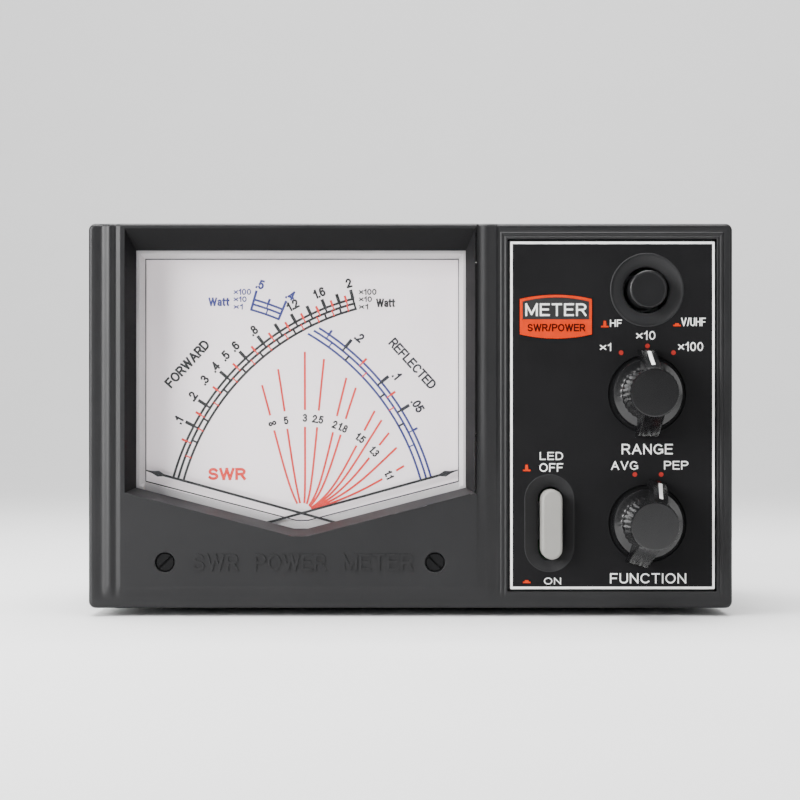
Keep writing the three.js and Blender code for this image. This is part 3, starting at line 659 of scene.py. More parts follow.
# Distances from the outer edge at which the relief has a line of points, so that its rounding is smooth.
RIM_STEPS = [0, 0.04, 0.12, 0.25, 0.42, 0.65, 1.0, CORNER]
# Widths of the relief's cells: across the frame, the rib, the ridges, the foot and the flat parts.
FRAME_CELL, RIB_CELL, RIDGE_CELL, FOOT_CELL = 0.1, 0.2, 0.22, 0.3
FLAT_CELL, LOW_FLANK_CELL, HIGH_FLANK_CELL = 6, 5, 7
MID_HEIGHT = 50  # where the flanks' cells change width
SILL_WIDTH = 1.65  # the ledge below the window
SCREW_HOLE = 2.5  # radius of a zero screw's hole at the front
POCKET_FRONT, POCKET_BACK = 0.5, 2.6
RIM_BACK, WALL_THICKNESS = 22, 2.4  # the rim that overlaps the cover
# Raised words under the window: (left, right, bottom, top).
RAISED_WORDS = {
    "SWR": (-52.4, -41.4, 11.1, 15.1),
    "POWER": (-37.6, -20.4, 11.1, 15.1),
    "METER": (-16.4, 0.6, 11.1, 15.1),
}
RAISED_FOOT, RAISED_HEIGHT, RAISED_PEN = 0.05, 0.3, 0.62


def eased(profile, value):
    """Reads a profile of (place, depth) points with a smooth turn at each point."""
    if value <= profile[0][0]:
        return profile[0][1]
    for (p0, d0), (p1, d1) in zip(profile, profile[1:]):
        if value <= p1:
            t = (value - p0) / (p1 - p0)
            return d0 + (d1 - d0) * t * t * (3 - 2 * t)
    return profile[-1][1]


def straight(profile, value):
    """Reads a profile of (place, depth) points along straight lines."""
    for (p0, d0), (p1, d1) in zip(profile, profile[1:]):
        if value <= p1:
            return d0 + (d1 - d0) * (value - p0) / (p1 - p0)
    return profile[-1][1]


def blend_between(low, high, value):
    """0 below low, 1 above high, smooth between."""
    t = min(1.0, max(0.0, (value - low) / (high - low)))
    return t * t * (3 - 2 * t)


def face_depth(x, z, edge):
    """Depth of the moulding's front at a point, with the outer edge rounded by the radius `edge`."""
    if x < FIELD_LEFT:
        depth = eased(LEFT_PROFILE, x)
    elif x < FIELD_RIGHT:
        depth = 0.0
    elif x < RIB_PROFILE[-1][0]:
        height = blend_between(*RIB_RISE, z)
        depth = eased(RIB_PROFILE, x) * (height if x < RIB_PROFILE[2][0] else 1.0)
        depth += (1 - height) * RIB_STEP_BACK * blend_between(*RIB_SHOULDER, x)
    else:
        outside = max(POCKET["left"] - x, x - POCKET["right"], z - POCKET["top"])
        depth = eased(FRAME_PROFILE, outside) if outside > 0 else UNDER_POCKET
        depth += (FLANK_DEPTH - depth) * (1 - blend_between(*FRAME_FADE, z))
    low = blend_between(FADE_LOW, FADE_HIGH, z)
    depth = depth * low + FLANK_DEPTH * (1 - low)
    rim = min(HALF_WIDTH - abs(x), z - BOTTOM, TOP - z)
    if rim < edge:
        depth += edge - math.sqrt(max(0.0, edge**2 - (edge - rim) ** 2))
    return depth


def stations(*runs):
    """Sorted places from runs of (start, stop, step), with every start and stop among them."""
    places = set()
    for start, stop, step in runs:
        count = max(1, round((stop - start) / step))
        places.update(round(start + (stop - start) * i / count, 4) for i in range(count + 1))
    return sorted(places)


def round_corner(x, z):
    """Draws the four outer corners of the front in to their radius."""
    u = (abs(x) - HALF_WIDTH + CORNER) / CORNER
    middle = (BOTTOM + TOP) / 2
    v = (abs(z - middle) - (TOP - BOTTOM) / 2 + CORNER) / CORNER
    if u <= 0 or v <= 0:
        return x, z
    pull = max(u, v) / math.hypot(u, v)
    nx = math.copysign(HALF_WIDTH - CORNER + u * pull * CORNER, x)
    nz = middle + math.copysign((TOP - BOTTOM) / 2 - CORNER + v * pull * CORNER, z - middle)
    return nx, nz


def front_relief(bm, edge):
    """The moulding's whole front as one relief, open where the meter field and the panel's pocket lie."""
    p = POCKET
    rib_end = RIB_PROFILE[-1][0]
    columns = stations(
        (-HALF_WIDTH + CORNER, FIELD_LEFT, RIDGE_CELL),
        (FIELD_LEFT, FIELD_RIGHT, FLAT_CELL),
        (FIELD_RIGHT, rib_end, RIB_CELL),
        (rib_end, p["left"], FRAME_CELL),
        (p["left"], p["right"], FLAT_CELL),
        (p["right"], HALF_WIDTH - CORNER, FRAME_CELL),
    )
    columns = sorted({*columns, *(side * (HALF_WIDTH - d) for d in RIM_STEPS for side in (-1, 1))})
    rows = stations(
        (BOTTOM + CORNER, p["bottom"], FOOT_CELL),
        (p["bottom"], FIELD_BOTTOM, FOOT_CELL),
        (FIELD_BOTTOM, MID_HEIGHT, LOW_FLANK_CELL),
        (MID_HEIGHT, p["top"], HIGH_FLANK_CELL),
        (p["top"], FIELD_TOP, FRAME_CELL),
    )
    above_field = [TOP - d for d in RIM_STEPS if TOP - d > FIELD_TOP]
    rows = sorted({*rows, *(BOTTOM + d for d in RIM_STEPS), *above_field})
    verts = {}
    for x in columns:
        for z in rows:
            depth = face_depth(x, z, edge)
            nx, nz = round_corner(x, z)
            verts[x, z] = bm.verts.new(spot(nx, depth, nz))
    for x0, x1 in zip(columns, columns[1:]):
        for z0, z1 in zip(rows, rows[1:]):
            x, z = (x0 + x1) / 2, (z0 + z1) / 2
            in_field = FIELD_LEFT < x < FIELD_RIGHT and FIELD_BOTTOM < z < FIELD_TOP
            in_pocket = p["left"] < x < p["right"] and p["bottom"] < z < p["top"]
            if not in_field and not in_pocket:
                bm.faces.new((verts[x0, z0], verts[x1, z0], verts[x1, z1], verts[x0, z1]))


def lower_field(bm):
    """The flat field under the window with a sunk hole for each zero screw."""
    v_line = meter_outline(side=WINDOW["left"] - FIELD_LEFT, sill=SILL_WIDTH)
    apex_left, apex_right, corner_z = v_line[0], v_line[1], v_line[5][1]
    outline = [
        (FIELD_LEFT, FIELD_BOTTOM),
        (FIELD_RIGHT, FIELD_BOTTOM),
        (FIELD_RIGHT, corner_z),
        apex_right,
        apex_left,
        (FIELD_LEFT, corner_z),
    ]
    plate(bm, [outline, *(circle(x, z, SCREW_HOLE, 32) for x, z in SCREW_HOLES)], 0)
    for x, z in SCREW_HOLES:
        profile = [(SCREW_HOLE, 0), (2.38, 0.12), (2.33, 0.3), (2.33, 1.9), (1.7, 1.9), (1.7, OPENING_DEPTH)]
        turned(bm, profile, x, z, 32, closed_front=False)


def window_recess(bm, wall, sill_finish):
    """Sloping walls from the front to the window: wide above, narrow at the sides and the sill."""
    side, top = WINDOW["left"] - FIELD_LEFT, FIELD_TOP - WINDOW["top"]
    stages = [(1, 0), (0.94, 0.1), (0.06, 4.02), (0.0, OPENING_DEPTH), (0.0, 4.6)]
    rings = []
    for share, depth in stages:
        outline = meter_outline(side * share, top * share, SILL_WIDTH * share)
        if share == 1:
            outline = [(min(x, FIELD_RIGHT) if x > 0 else x, z) for x, z in outline]
        rings.append(ring_at(outline, depth))
    loft(bm, [ring[2:] for ring in rings], closed=False, material=wall)
    loft(bm, [[ring[5], *ring[:3]] for ring in rings], closed=False, material=sill_finish)


def panel_pocket(bm):
    """Walls of the pocket that the control panel sits in."""
    left, right, bottom, top = POCKET.values()
    outline = [(left, bottom), (right, bottom), (right, top), (left, top)]
    loft(bm, [ring_at(outline, POCKET_FRONT), ring_at(outline, POCKET_BACK)])


def skirt(bm, edge):
    """The sides of the moulding, back to the rim that overlaps the cover."""
    depth = FLANK_DEPTH + edge
    stages = [(0, depth - 0.3), (0, RIM_BACK - 0.3), (0.3, RIM_BACK), (WALL_THICKNESS, RIM_BACK)]
    stages.append((WALL_THICKNESS, 6))
    rings = []
    for inset, back in stages:
        half, corner = HALF_WIDTH - inset, max(0.4, CORNER - inset)
        rings.append(ring_at(rounded_rectangle(-half, half, BOTTOM + inset, TOP - inset, corner, 8), back))
    loft(bm, rings)


def raised_words(plastic):
    """Low raised lettering under the window, moulded with the front."""
    bm = bmesh.new()
    for text, box in RAISED_WORDS.items():
        word(bm, text, box, RAISED_FOOT, pen=RAISED_PEN)
    raised = bmesh.ops.extrude_face_region(bm, geom=bm.faces[:])
    tops = [item for item in raised["geom"] if isinstance(item, bmesh.types.BMVert)]
    bmesh.ops.translate(bm, verts=tops, vec=Vector((0, -RAISED_HEIGHT * MM, 0)))
    shown("raised_words", bm, [plastic], "housing", rounded=False)


class SWRMETER_OT_casing(bpy.types.Operator):
    """Makes the front moulding and finishes the cover, chassis, feet and screws"""

    bl_idname = "swrmeter.casing"
    bl_label = "Casing"

    def execute(self, context):
        s = context.scene.swrmeter_casing
        plastic = moulded_plastic("grained_black_abs", s.plastic, s.roughness)
        bm = bmesh.new()
        front_relief(bm, s.edge / MM)
        lower_field(bm)
        window_recess(bm, wall=1, sill_finish=2)
        panel_pocket(bm)
        skirt(bm, s.edge / MM)
        # The window's walls are coarser and duller than the front, and darker in colour as painted shade for
        # the shadow inside the recess; the sill is smoother, with a soft line of light along it.
        wall = moulded_plastic("textured_wall_abs", linear("#0D0D0E"), 0.55, 0.4, 0.03, gloss=0.12)
        sill = moulded_plastic("polished_sill_abs", linear("#151516"), 0.42, gloss=0.26)
        finishes = [plastic, wall, sill]
        shown("front_moulding", bm, finishes, "housing", ["front_bezel"])
        raised_words(plastic)
        sheet = painted_steel("powder_coated_steel", s.cover)
        carry("top_cover", sheet, 0.4, 3)
        carry("chassis", sheet, 0.2)
        rubber = soft_rubber("black_rubber", linear("#161616"))
        steel = bare_metal("zinc_plated_steel", linear("#9A9DA0"), 0.34)
        for number in range(1, 5):
            carry(f"foot_{number}", rubber, 0.3)
            carry(f"cover_screw_{number}", steel, 0.12)
        return {"FINISHED"}


# ---------------------------------------------------------------- dial

# Radii of the scale arcs about the needle's pivot, for the x100, x10 and x1 ranges.
ARC_RADII = (62.7, 61.5, 60.1)
TICK_OUTER, MINOR_OUTER = 65.0, 64.0
NUMBER_RADIUS, NUMBER_HEIGHT = 66.7, 2.35
LOW_RANGE_LAG = 3.2  # degrees by which the x1 range reads low at the start of its scale
PRINT_DEPTH = DIAL_DEPTH - 0.03
FORWARD_SCALE = {"full": 2.0, "span": 59.5, "power": 0.5225}
REFLECTED_SCALE = {"full": 0.5, "span": 58.9, "power": 0.55}
BLACK, BLUE, RED, GREY, SHADE = range(5)
# Each standing-wave curve: the ratio it is drawn for and its number, if it has one.
CURVES = [
    (9.6, "∞"),
    (4.85, "5"),
    (3.0, "3"),
    (2.42, "2.5"),
    (1.94, "2"),
    (1.775, "1.8"),
    (1.49, "1.5"),
    (1.4, ""),
    (1.3, "1.3"),
    (1.2, ""),
    (1.095, "1.1"),
]
LABEL_RADIUS = 23.3
CURVE_START = 2.6  # distance of the curves' lower ends from the needles' crossing at rest
CURVE_REACH_FORWARD, CURVE_REACH_REFLECTED = 55.3, 57.1


def deflection(scale, watts):
    """Degrees above the horizontal at which a needle stands for a power."""
    return REST_DEGREES + scale["span"] * (watts / scale["full"]) ** scale["power"]


def on_arc(side, degrees, radius):
    """A point at a distance from a movement's pivot; side is 1 for the right-hand, forward movement."""
    angle = math.radians(degrees)
    x = METER_X + side * (PIVOT_OFFSET - radius * math.cos(angle))
    return x, PIVOT_Z + radius * math.sin(angle)


def arc(bm, side, radius, start, stop, width, material):
    """A printed arc between two needle angles."""
    steps = max(6, int(stop - start))
    points = [on_arc(side, start + (stop - start) * i / steps, radius) for i in range(steps + 1)]
    ribbon(bm, points, width, PRINT_DEPTH, material)


def tick(bm, side, degrees, inner, outer, width, material):
    """A printed line along a needle's direction."""
    ends = [on_arc(side, degrees, inner), on_arc(side, degrees, outer)]
    ribbon(bm, ends, width, PRINT_DEPTH - 3 * INK_FILM, material, overrun=0)


def graduation(bm, side, scale, watts, outer, width, material):
    """One power's mark on all three ranges: outside the arcs and, lagging at low power, across them."""
    degrees = deflection(scale, watts)
    lag = LOW_RANGE_LAG * (1 - watts / scale["full"])
    high, middle, low = ARC_RADII
    tick(bm, side, degrees, high, outer, width * 1.6, material)
    tick(bm, side, degrees, middle, high, width, material)
    tick(bm, side, degrees - lag, low, middle, width, material)


def number(bm, side, scale, watts, material, aside=0.0):
    """A number of a scale, standing along the needle's direction; `aside` moves it along the arc."""
    degrees = deflection(scale, watts) + aside
    text = f"{watts:g}".removeprefix("0")
    lean = side * (degrees - 90)
    x, z = on_arc(side, degrees, NUMBER_RADIUS)
    label(bm, text, x, z, NUMBER_HEIGHT, PRINT_DEPTH, material, pen=0.5, turn=lean, squeeze=1.02)


def forward_scale(bm, width):
    """The black scale on the left, read by the needle that pivots on the right."""
    scale = FORWARD_SCALE
    end = deflection(scale, scale["full"])
    for radius in ARC_RADII:
        arc(bm, 1, radius, REST_DEGREES, end, width, BLACK)
    for watts in (0.05, 0.15, 0.3, 0.5, 0.7, 0.9, 1.1, 1.3, 1.5, 1.7, 1.9):
        graduation(bm, 1, scale, watts, MINOR_OUTER, width * 0.6, RED)
    for watts in (0.1, 0.2, 0.4, 0.6, 0.8, 1.0, 1.2, 1.4, 1.6, 1.8, 2.0):
        graduation(bm, 1, scale, watts, TICK_OUTER, width * 0.85, BLACK)
    for watts in (0.1, 0.2, 0.3, 0.4, 0.5, 0.6, 0.8, 1.2, 1.6, 2.0):
        number(bm, 1, scale, watts, BLACK, aside={1.2: 1.2, 0.1: -0.4}.get(watts, 0))
    label(bm, "FORWARD", -54.8, 61.2, 2.55, PRINT_DEPTH, BLACK, pen=0.54, turn=-47.5, squeeze=1.08)


def reflected_scale(bm, width):
    """The blue scale on the right, broken where the forward scale crosses it."""
    scale = REFLECTED_SCALE
    gap_end, end = deflection(scale, 0.4), deflection(scale, scale["full"])
    for radius in ARC_RADII:
        gap_start = 58.1 + (ARC_RADII[0] - radius) * 0.58
        arc(bm, -1, radius, REST_DEGREES, gap_start, width * 0.9, BLUE)
        arc(bm, -1, radius, gap_end, end, width * 0.9, BLUE)
    for watts in (0.025, 0.075, 0.15, 0.25, 0.45):
        graduation(bm, -1, scale, watts, MINOR_OUTER, width * 0.6, RED if watts in (0.075, 0.15) else BLUE)
    for watts in (0.05, 0.1, 0.2):
        graduation(bm, -1, scale, watts, TICK_OUTER, width * 0.85, GREY)
        number(bm, -1, scale, watts, GREY, aside=-1.0)
    for watts in (0.4, 0.5):
        tick(bm, -1, deflection(scale, watts), ARC_RADII[-1], TICK_OUTER, width, BLUE)
        number(bm, -1, scale, watts, BLUE, aside=-0.4)
    label(bm, "REFLECTED", 0.6, 61.2, 2.45, PRINT_DEPTH, GREY, pen=0.48, turn=47.7, squeeze=1.04)


def crossing(ratio, forward_watts):
    """Where the two needles cross for a standing-wave ratio and a forward power."""
    reflection = ((ratio - 1) / (ratio + 1)) ** 2
    a = math.radians(deflection(FORWARD_SCALE, forward_watts))
    b = math.radians(deflection(REFLECTED_SCALE, reflection * forward_watts))
    x = PIVOT_OFFSET * math.sin(a - b) / math.sin(a + b)
    z = 2 * PIVOT_OFFSET * math.sin(a) * math.sin(b) / math.sin(a + b)
    return METER_X + x, PIVOT_Z + z


REST_CROSSING = crossing(1.0, 0.0)


def wave_curve(ratio):
    """Points of one standing-wave curve and their distances from the needles' crossing at rest."""
    points = []
    for i in range(1, 200):
        x, z = crossing(ratio, 3.2 * (i / 200) ** 2)
        from_forward = math.hypot(x - METER_X - PIVOT_OFFSET, z - PIVOT_Z)
        from_reflected = math.hypot(x - METER_X + PIVOT_OFFSET, z - PIVOT_Z)
        if from_forward > CURVE_REACH_FORWARD or from_reflected > CURVE_REACH_REFLECTED:
            break
        reach = math.dist((x, z), REST_CROSSING)
        if reach > CURVE_START:
            points.append(((x, z), reach))
    return points


def wave_curves(bm, width):
    """The red fan of standing-wave curves with its numbers in gaps along it."""
    for layer, (ratio, text) in enumerate(CURVES):
        depth = PRINT_DEPTH - layer * INK_FILM
        points = wave_curve(ratio)
        gap = 2.1 if text else 0.0
        for part in (
            [point for point, reach in points if reach <= LABEL_RADIUS - gap],
            [point for point, reach in points if reach >= LABEL_RADIUS + gap],
        ):
            if len(part) > 1:
                ribbon(bm, part, width, depth, RED)
        if text:
            (x, z), _ = min(points, key=lambda entry: abs(entry[1] - LABEL_RADIUS))
            lean = math.degrees(math.atan2(x - REST_CROSSING[0], z - REST_CROSSING[1]))
            label(bm, text, x, z, 2.0, PRINT_DEPTH, BLACK, pen=0.42, turn=lean, squeeze=0.95)


def range_labels(bm):
    """The small range names and the unit at the end of each scale."""
    rows = [("×100", 78.1, 79.6, 4.3), ("×10", 76.35, 77.75, 3.2), ("×1", 74.5, 75.9, 2.3)]
    for left, unit_box, ink in (
        (-12.6, (-8.4, -3.7, 75.1, 77.2), BLACK),
        (-43.4, (-49.6, -44.4, 75.35, 77.45), BLUE),
    ):
        for text, bottom, top, width in rows:
            word(bm, text, (left, left + width, bottom, top), PRINT_DEPTH, ink, pen=0.3)
        word(bm, "Watt", unit_box, PRINT_DEPTH, ink, pen=0.44)


def surround_gap(bm):
    """Painted shadow: the dark hairline where the surround stands on the dial."""
    line = meter_outline(side=-1.5, top=-1.55, sill=-1.7)
    ribbon(bm, [*line, line[0]], 0.3, PRINT_DEPTH - 0.02, SHADE)


class SWRMETER_OT_dial(bpy.types.Operator):
    """Makes the dial's printing and finishes the dial plate, its surround and the window"""

    bl_idname = "swrmeter.dial"
    bl_label = "Dial and window"

    def execute(self, context):
        s = context.scene.swrmeter_dial
        inks = [
            screen_ink("black_dial_ink", s.black),
            screen_ink("blue_dial_ink", s.blue),
            screen_ink("red_dial_ink", s.red),
            screen_ink("grey_dial_ink", linear("#16161F")),
            # painted shadow for the hairline between surround and dial, drawn with the ink shader
            screen_ink("hairline_shadow", linear("#2A282A")),
        ]
        bm = bmesh.new()
        forward_scale(bm, s.arc_width / MM)
        reflected_scale(bm, s.arc_width / MM)
        wave_curves(bm, s.curve_width / MM)
        range_labels(bm)
        surround_gap(bm)
        word(bm, "SWR", (-49.7, -40.4, 32.6, 35.6), PRINT_DEPTH, RED, pen=0.7)
        shown("dial_print", bm, inks, "housing")
        carry("dial_plate", dial_enamel("stove_enamelled_dial", s.plate))
        polystyrene = moulded_plastic("white_polystyrene", linear("#B8B5B6"), 0.42, 0.4, 0.01)
        carry("meter_surround", polystyrene, 0.15)
        carry("meter_window", clear_acrylic("clear_cast_acrylic", linear("#60656A")))
        return {"FINISHED"}


# ---------------------------------------------------------------- movements


class SWRMETER_OT_movements(bpy.types.Operator):
    """Finishes the needles and everything that turns or holds them"""

    bl_idname = "swrmeter.movements"
    bl_label = "Meter movements"

    def execute(self, context):
        brass = bare_metal("stamped_brass", linear("#B89A52"), 0.3)
        finishes = {
            "needle": screen_ink("black_needle_paint", linear("#070607")),
            "coil": bare_metal("enamelled_copper_wire", linear("#A8582E"), 0.3, 0.12, (1, 1, 8)),
            "magnet": bare_metal("sintered_magnet", linear("#55565A"), 0.5, 0.4),
            "yoke": bare_metal("soft_iron", linear("#85878A"), 0.38),
            "hairspring": bare_metal("phosphor_bronze", linear("#C08A4A"), 0.25),
            "zero_arm": brass,
            "zero_screw": moulded_plastic("black_nylon", linear("#0A0A0B"), 0.5, 0.25, 0.015, gloss=0.12),
        }
        for movement in ("forward", "reflected"):
            for part, finish in finishes.items():
                carry(f"{movement}_{part}", finish, 0.12 if part == "zero_screw" else 0.0)
        carry("movement_bridge", brass, 0.1)
        carry("meter_base", moulded_plastic("black_polystyrene", linear("#232325"), 0.5), 0.2)
        carry("lamp_board", circuit_laminate("green_circuit_laminate", linear("#2F5A3A")), 0.1)
        return {"FINISHED"}


# ---------------------------------------------------------------- control panel

PANEL_FACE = {"left": 23.6, "right": 73.35, "bottom": 6.35, "top": 90.55}
BORDER_OUTER = {"left": 24.0, "right": 73.15, "bottom": 6.65, "top": 90.2}
BORDER_WIDTH = 0.56
LEGEND_DEPTH = PANEL_DEPTH - 0.03
KNOB_RING = 9.5
BAND_RING = 8.9
LEGENDS = [
    ("HF", (48.0, 50.85, 69.75, 71.45)),
    ("V/UHF", (65.1, 71.0, 69.9, 71.9)),
    ("×10", (54.3, 58.9, 66.6, 68.7)),
    ("×1", (45.6, 48.3, 63.9, 65.8)),
    ("×100", (64.4, 70.4, 63.9, 66.05)),
    ("RANGE", (50.8, 63.1, 39.05, 41.55)),
    ("AVG", (48.25, 54.7, 35.3, 37.4)),
    ("PEP", (61.0, 66.8, 35.4, 37.45)),
    ("FUNCTION", (48.0, 66.3, 8.0, 10.45)),
    ("LED", (31.1, 36.7, 37.7, 39.6)),
    ("OFF", (31.0, 36.7, 34.85, 36.9)),
    ("ON", (32.1, 36.2, 7.75, 9.4)),
]
DOTS = [(50.66, 63.5), (57.0, 65.1), (63.26, 63.5), (53.97, 34.2), (60.3, 34.2)]
PLUNGER_ICONS = [(46.75, 69.6, True), (64.1, 69.85, False), (27.95, 35.0, True), (27.95, 8.05, False)]
WHITE, ORANGE, DOT_RED, BADGE_BLACK, BADGE_BROWN = range(5)
DOT_RADIUS = 0.56
PEN_SHARE, PEN_LEAST = 0.115, 0.04  # a legend's stroke, from the height of its letters


def panel_plate(finishes):
    """The plate with a ring under each knob and a dish round each button."""
    bm = bmesh.new()
    f = PANEL_FACE
    depth = PANEL_DEPTH
    knob_places = [(k["x"], k["z"]) for k in (RANGE_KNOB, FUNCTION_KNOB)]
    band_place = (BAND_BUTTON["x"], BAND_BUTTON["z"])
    d = LAMP_DISH
    dish_rim = stadium(d["x"], d["z"], d["width"] + 0.6, d["height"] + 0.6)
    outer = rounded_rectangle(f["left"], f["right"], f["bottom"], f["top"], 0.7)
    holes = [circle(*place, KNOB_RING, 64) for place in knob_places]
    holes += [circle(*band_place, BAND_RING, 64), dish_rim]
    plate(bm, [outer, *holes], depth)
    grown = rounded_rectangle(f["left"] - 0.12, f["right"] + 0.12, f["bottom"] - 0.12, f["top"] + 0.12, 0.8)
    loft(bm, [ring_at(outer, depth), ring_at(grown, depth + 0.12), ring_at(grown, POCKET_BACK)])
    for place in knob_places:
        profile = [(9.5, 0.6), (9.42, 0.56), (9.32, 0.62), (9.2, 0.95), (9.1, 1.0), (4.4, 1.0)]
        profile.append((4.3, POCKET_BACK))
        turned(bm, profile, *place, 64, closed_front=False)
    profile = [(8.9, 0.6), (8.8, 0.5), (8.6, 0.48), (8.45, 0.7), (7.9, 0.95), (6.8, 1.3), (5.9, 1.55)]
    profile += [(5.6, 1.75), (5.45, 2.3), (5.4, 6)]
    turned(bm, profile, *band_place, 64, material=1, closed_front=False)
    lamp_dish(bm, dish_rim)
    return shown("control_plate", bm, finishes, "housing", ["control_panel"])


def lamp_dish(bm, dish_rim):
    """The long dish: a fine crest, a rounded lip and walls that slope in to the long button."""
    d, b = LAMP_DISH, LAMP_BUTTON
    rings = [ring_at(dish_rim, PANEL_DEPTH)]
    rings.append(ring_at(stadium(d["x"], d["z"], d["width"] + 0.3, d["height"] + 0.3), PANEL_DEPTH - 0.08))
    for share, depth in ((0, 0.66), (0.12, 0.85), (0.5, 1.5), (0.85, 2.1), (1, 2.5)):
        x = d["x"] + (b["x"] - d["x"]) * share
        z = d["z"] + (b["z"] - d["z"]) * share
        width = d["width"] + (b["width"] + 1.0 - d["width"]) * share
        height = d["height"] + (b["height"] + 1.0 - d["height"]) * share
        rings.append(ring_at(stadium(x, z, width, height), depth))
    rings.append(ring_at(stadium(b["x"], b["z"], b["width"] + 1.0, b["height"] + 1.0), 6))
    loft(bm, rings, material=1)


def bowed_box(left, right, bottom, top, bow_height, steps=12):
    """A box whose upper and lower edges bulge outwards."""
    points = []
    for edge, sign, start, stop in ((bottom, -1, left, right), (top, 1, right, left)):
        for i in range(steps + 1):
            t = i / steps
            bulge = bow_height * (1 - (2 * t - 1) ** 2)
            points.append((start + (stop - start) * t, edge + sign * bulge))
    return points


def badge(bm):
    """An orange-edged plate with generic words: a black field above a band."""
    left, right, bottom, top, split, bow = 26.3, 43.6, 67.9, 76.4, 71.5, 1.0
    face = LEGEND_DEPTH - 0.22
    outer = bowed_box(left, right, bottom, top, bow)
    plate(bm, [outer], face, ORANGE)
    loft(bm, [ring_at(outer, face), ring_at(outer, LEGEND_DEPTH + 0.1)], material=ORANGE)
    field = bowed_box(left + 0.65, right - 0.65, split, top - 0.6, bow)
    field = [(x, max(z, split)) for x, z in field]
    plate(bm, [field], face - 0.03, BADGE_BLACK)
    word(bm, "METER", (27.6, 42.3, 72.3, 75.35), face - 0.06, WHITE, pen=0.44)
    word(bm, "SWR/POWER", (28.1, 42.0, 68.6, 70.4), face - 0.03, BADGE_BROWN, pen=0.32)


def plunger_icon(bm, x, z, out):
    """The small orange sign of a button that stands out or is pressed in."""
    height, half = (1.55, 0.28) if out else (0.75, 0.42)
    left, right, foot, head = x - 0.9, x + 0.9, z + 0.38, z + height
    base = [(left, z), (right, z), (right, foot), (left, foot)]
    stem = [(x - half - 0.1, foot), (x + half + 0.1, foot), (x + half, head), (x - half, head)]
    plate(bm, [base], LEGEND_DEPTH, ORANGE)
    plate(bm, [stem], LEGEND_DEPTH, ORANGE)


class SWRMETER_OT_panel(bpy.types.Operator):
    """Makes the control plate with its border, legends, dots and badge"""

    bl_idname = "swrmeter.control_panel"
    bl_label = "Control panel"

    def execute(self, context):
        s = context.scene.swrmeter_controls
        lacquer = matt_lacquer("matt_black_lacquer", s.panel)
        # The dishes round the buttons are softly glossy, and lighter than the lacquer as painted light.
        panel_plate([lacquer, moulded_plastic("textured_dish_abs", linear("#232324"), 0.5, gloss=0.18)])
        inks = [
            screen_ink("white_panel_ink", s.white),
            screen_ink("orange_panel_ink", s.orange, gloss=0.1),
            screen_ink("red_panel_ink", linear("#8E2018"), gloss=0.2),
            screen_ink("black_badge_ink", linear("#0C0B0C")),
            screen_ink("brown_badge_ink", linear("#1E0502"), gloss=0.1),
        ]
        bm = bmesh.new()
        b, w = BORDER_OUTER, BORDER_WIDTH
        outer = rounded_rectangle(b["left"], b["right"], b["bottom"], b["top"], 0.25)
        inner = rounded_rectangle(b["left"] + w, b["right"] - w, b["bottom"] + w, b["top"] - w, 0.12)
        border(bm, outer, inner, LEGEND_DEPTH, WHITE)
        for text, box in LEGENDS:
            pen = PEN_SHARE * (box[3] - box[2]) + PEN_LEAST
            word(bm, text, box, LEGEND_DEPTH, WHITE, pen)
        for x, z in DOTS:
            dot(bm, x, z, DOT_RADIUS, LEGEND_DEPTH, DOT_RED)
        for x, z, out in PLUNGER_ICONS:
            plunger_icon(bm, x, z, out)
        badge(bm)
        shown("panel_print", bm, inks, "housing")
        return {"FINISHED"}


# ---------------------------------------------------------------- knobs and buttons

KNOB_FACE = -13.6  # depth of a knob's flat cap
KNOB_BODY_LOW, KNOB_BODY_TOP = 6.3, 5.75
POINTER_TAB = {"reach": 10.6, "width": 4.6, "face_width": 3.3}
TAIL_TAB = {"reach": 10.35, "width": 5.6, "face_width": 4.6}
TAB_BACK = 0.6  # depth of the lower edge of a tab's sides
LINE_HALF_WIDTH = 0.45


def fluted_ring(place, radius, depth, flutes, cut):
    """A ring whose radius dips by `cut` at each flute."""
    sides = flutes * 6
    points = []
    for i in range(sides):
        angle = 2 * math.pi * i / sides
        dip = cut * (0.5 + 0.5 * math.cos(flutes * angle)) ** 1.5
        r = radius - dip
        points.append((place["x"] + r * math.cos(angle), depth, place["z"] + r * math.sin(angle)))
    return points


def knob_body(bm, place, flutes):
    """Flat cap, fluted grip and round skirt."""
    stages = [
        (5.35, KNOB_FACE, 0),
        (5.6, KNOB_FACE + 0.06, 0),
        (KNOB_BODY_TOP, KNOB_FACE + 0.3, 0.05),
        (KNOB_BODY_TOP + 0.03, KNOB_FACE + 0.7, 0.32),
        (KNOB_BODY_LOW, -2.9, 0.34),
        (6.5, -2.4, 0.2),
        (6.9, -2.15, 0),
        (7.7, -1.95, 0),
        (8.2, -1.75, 0),
        (8.5, -1.3, 0),
        (8.55, -0.9, 0),
        (8.55, 0.85, 0),
    ]
    rings = [fluted_ring(place, radius, depth, flutes, cut) for radius, depth, cut in stages]
    rows = loft(bm, rings)
    close_ring(bm, rows[0])


# The outer slope of a tab: (distance from the knob's axis short of the tab's reach, depth).
TAB_SLOPE = [(-6.2, -13.1), (-5.1, -12.95), (-4.4, -12.0), (-1.0, -4.2), (-0.35, -2.9), (-0.05, -1.9)]
TAB_SLOPE += [(0, -1.2)]


def beside_knob(place, across, outwards, degrees):
    """A point of the front view beside a knob's axis, in a frame turned clockwise by `degrees`."""
    point = (place["x"] + across, place["z"] + outwards)
    return turned_about([point], place["x"], place["z"], degrees)[0]


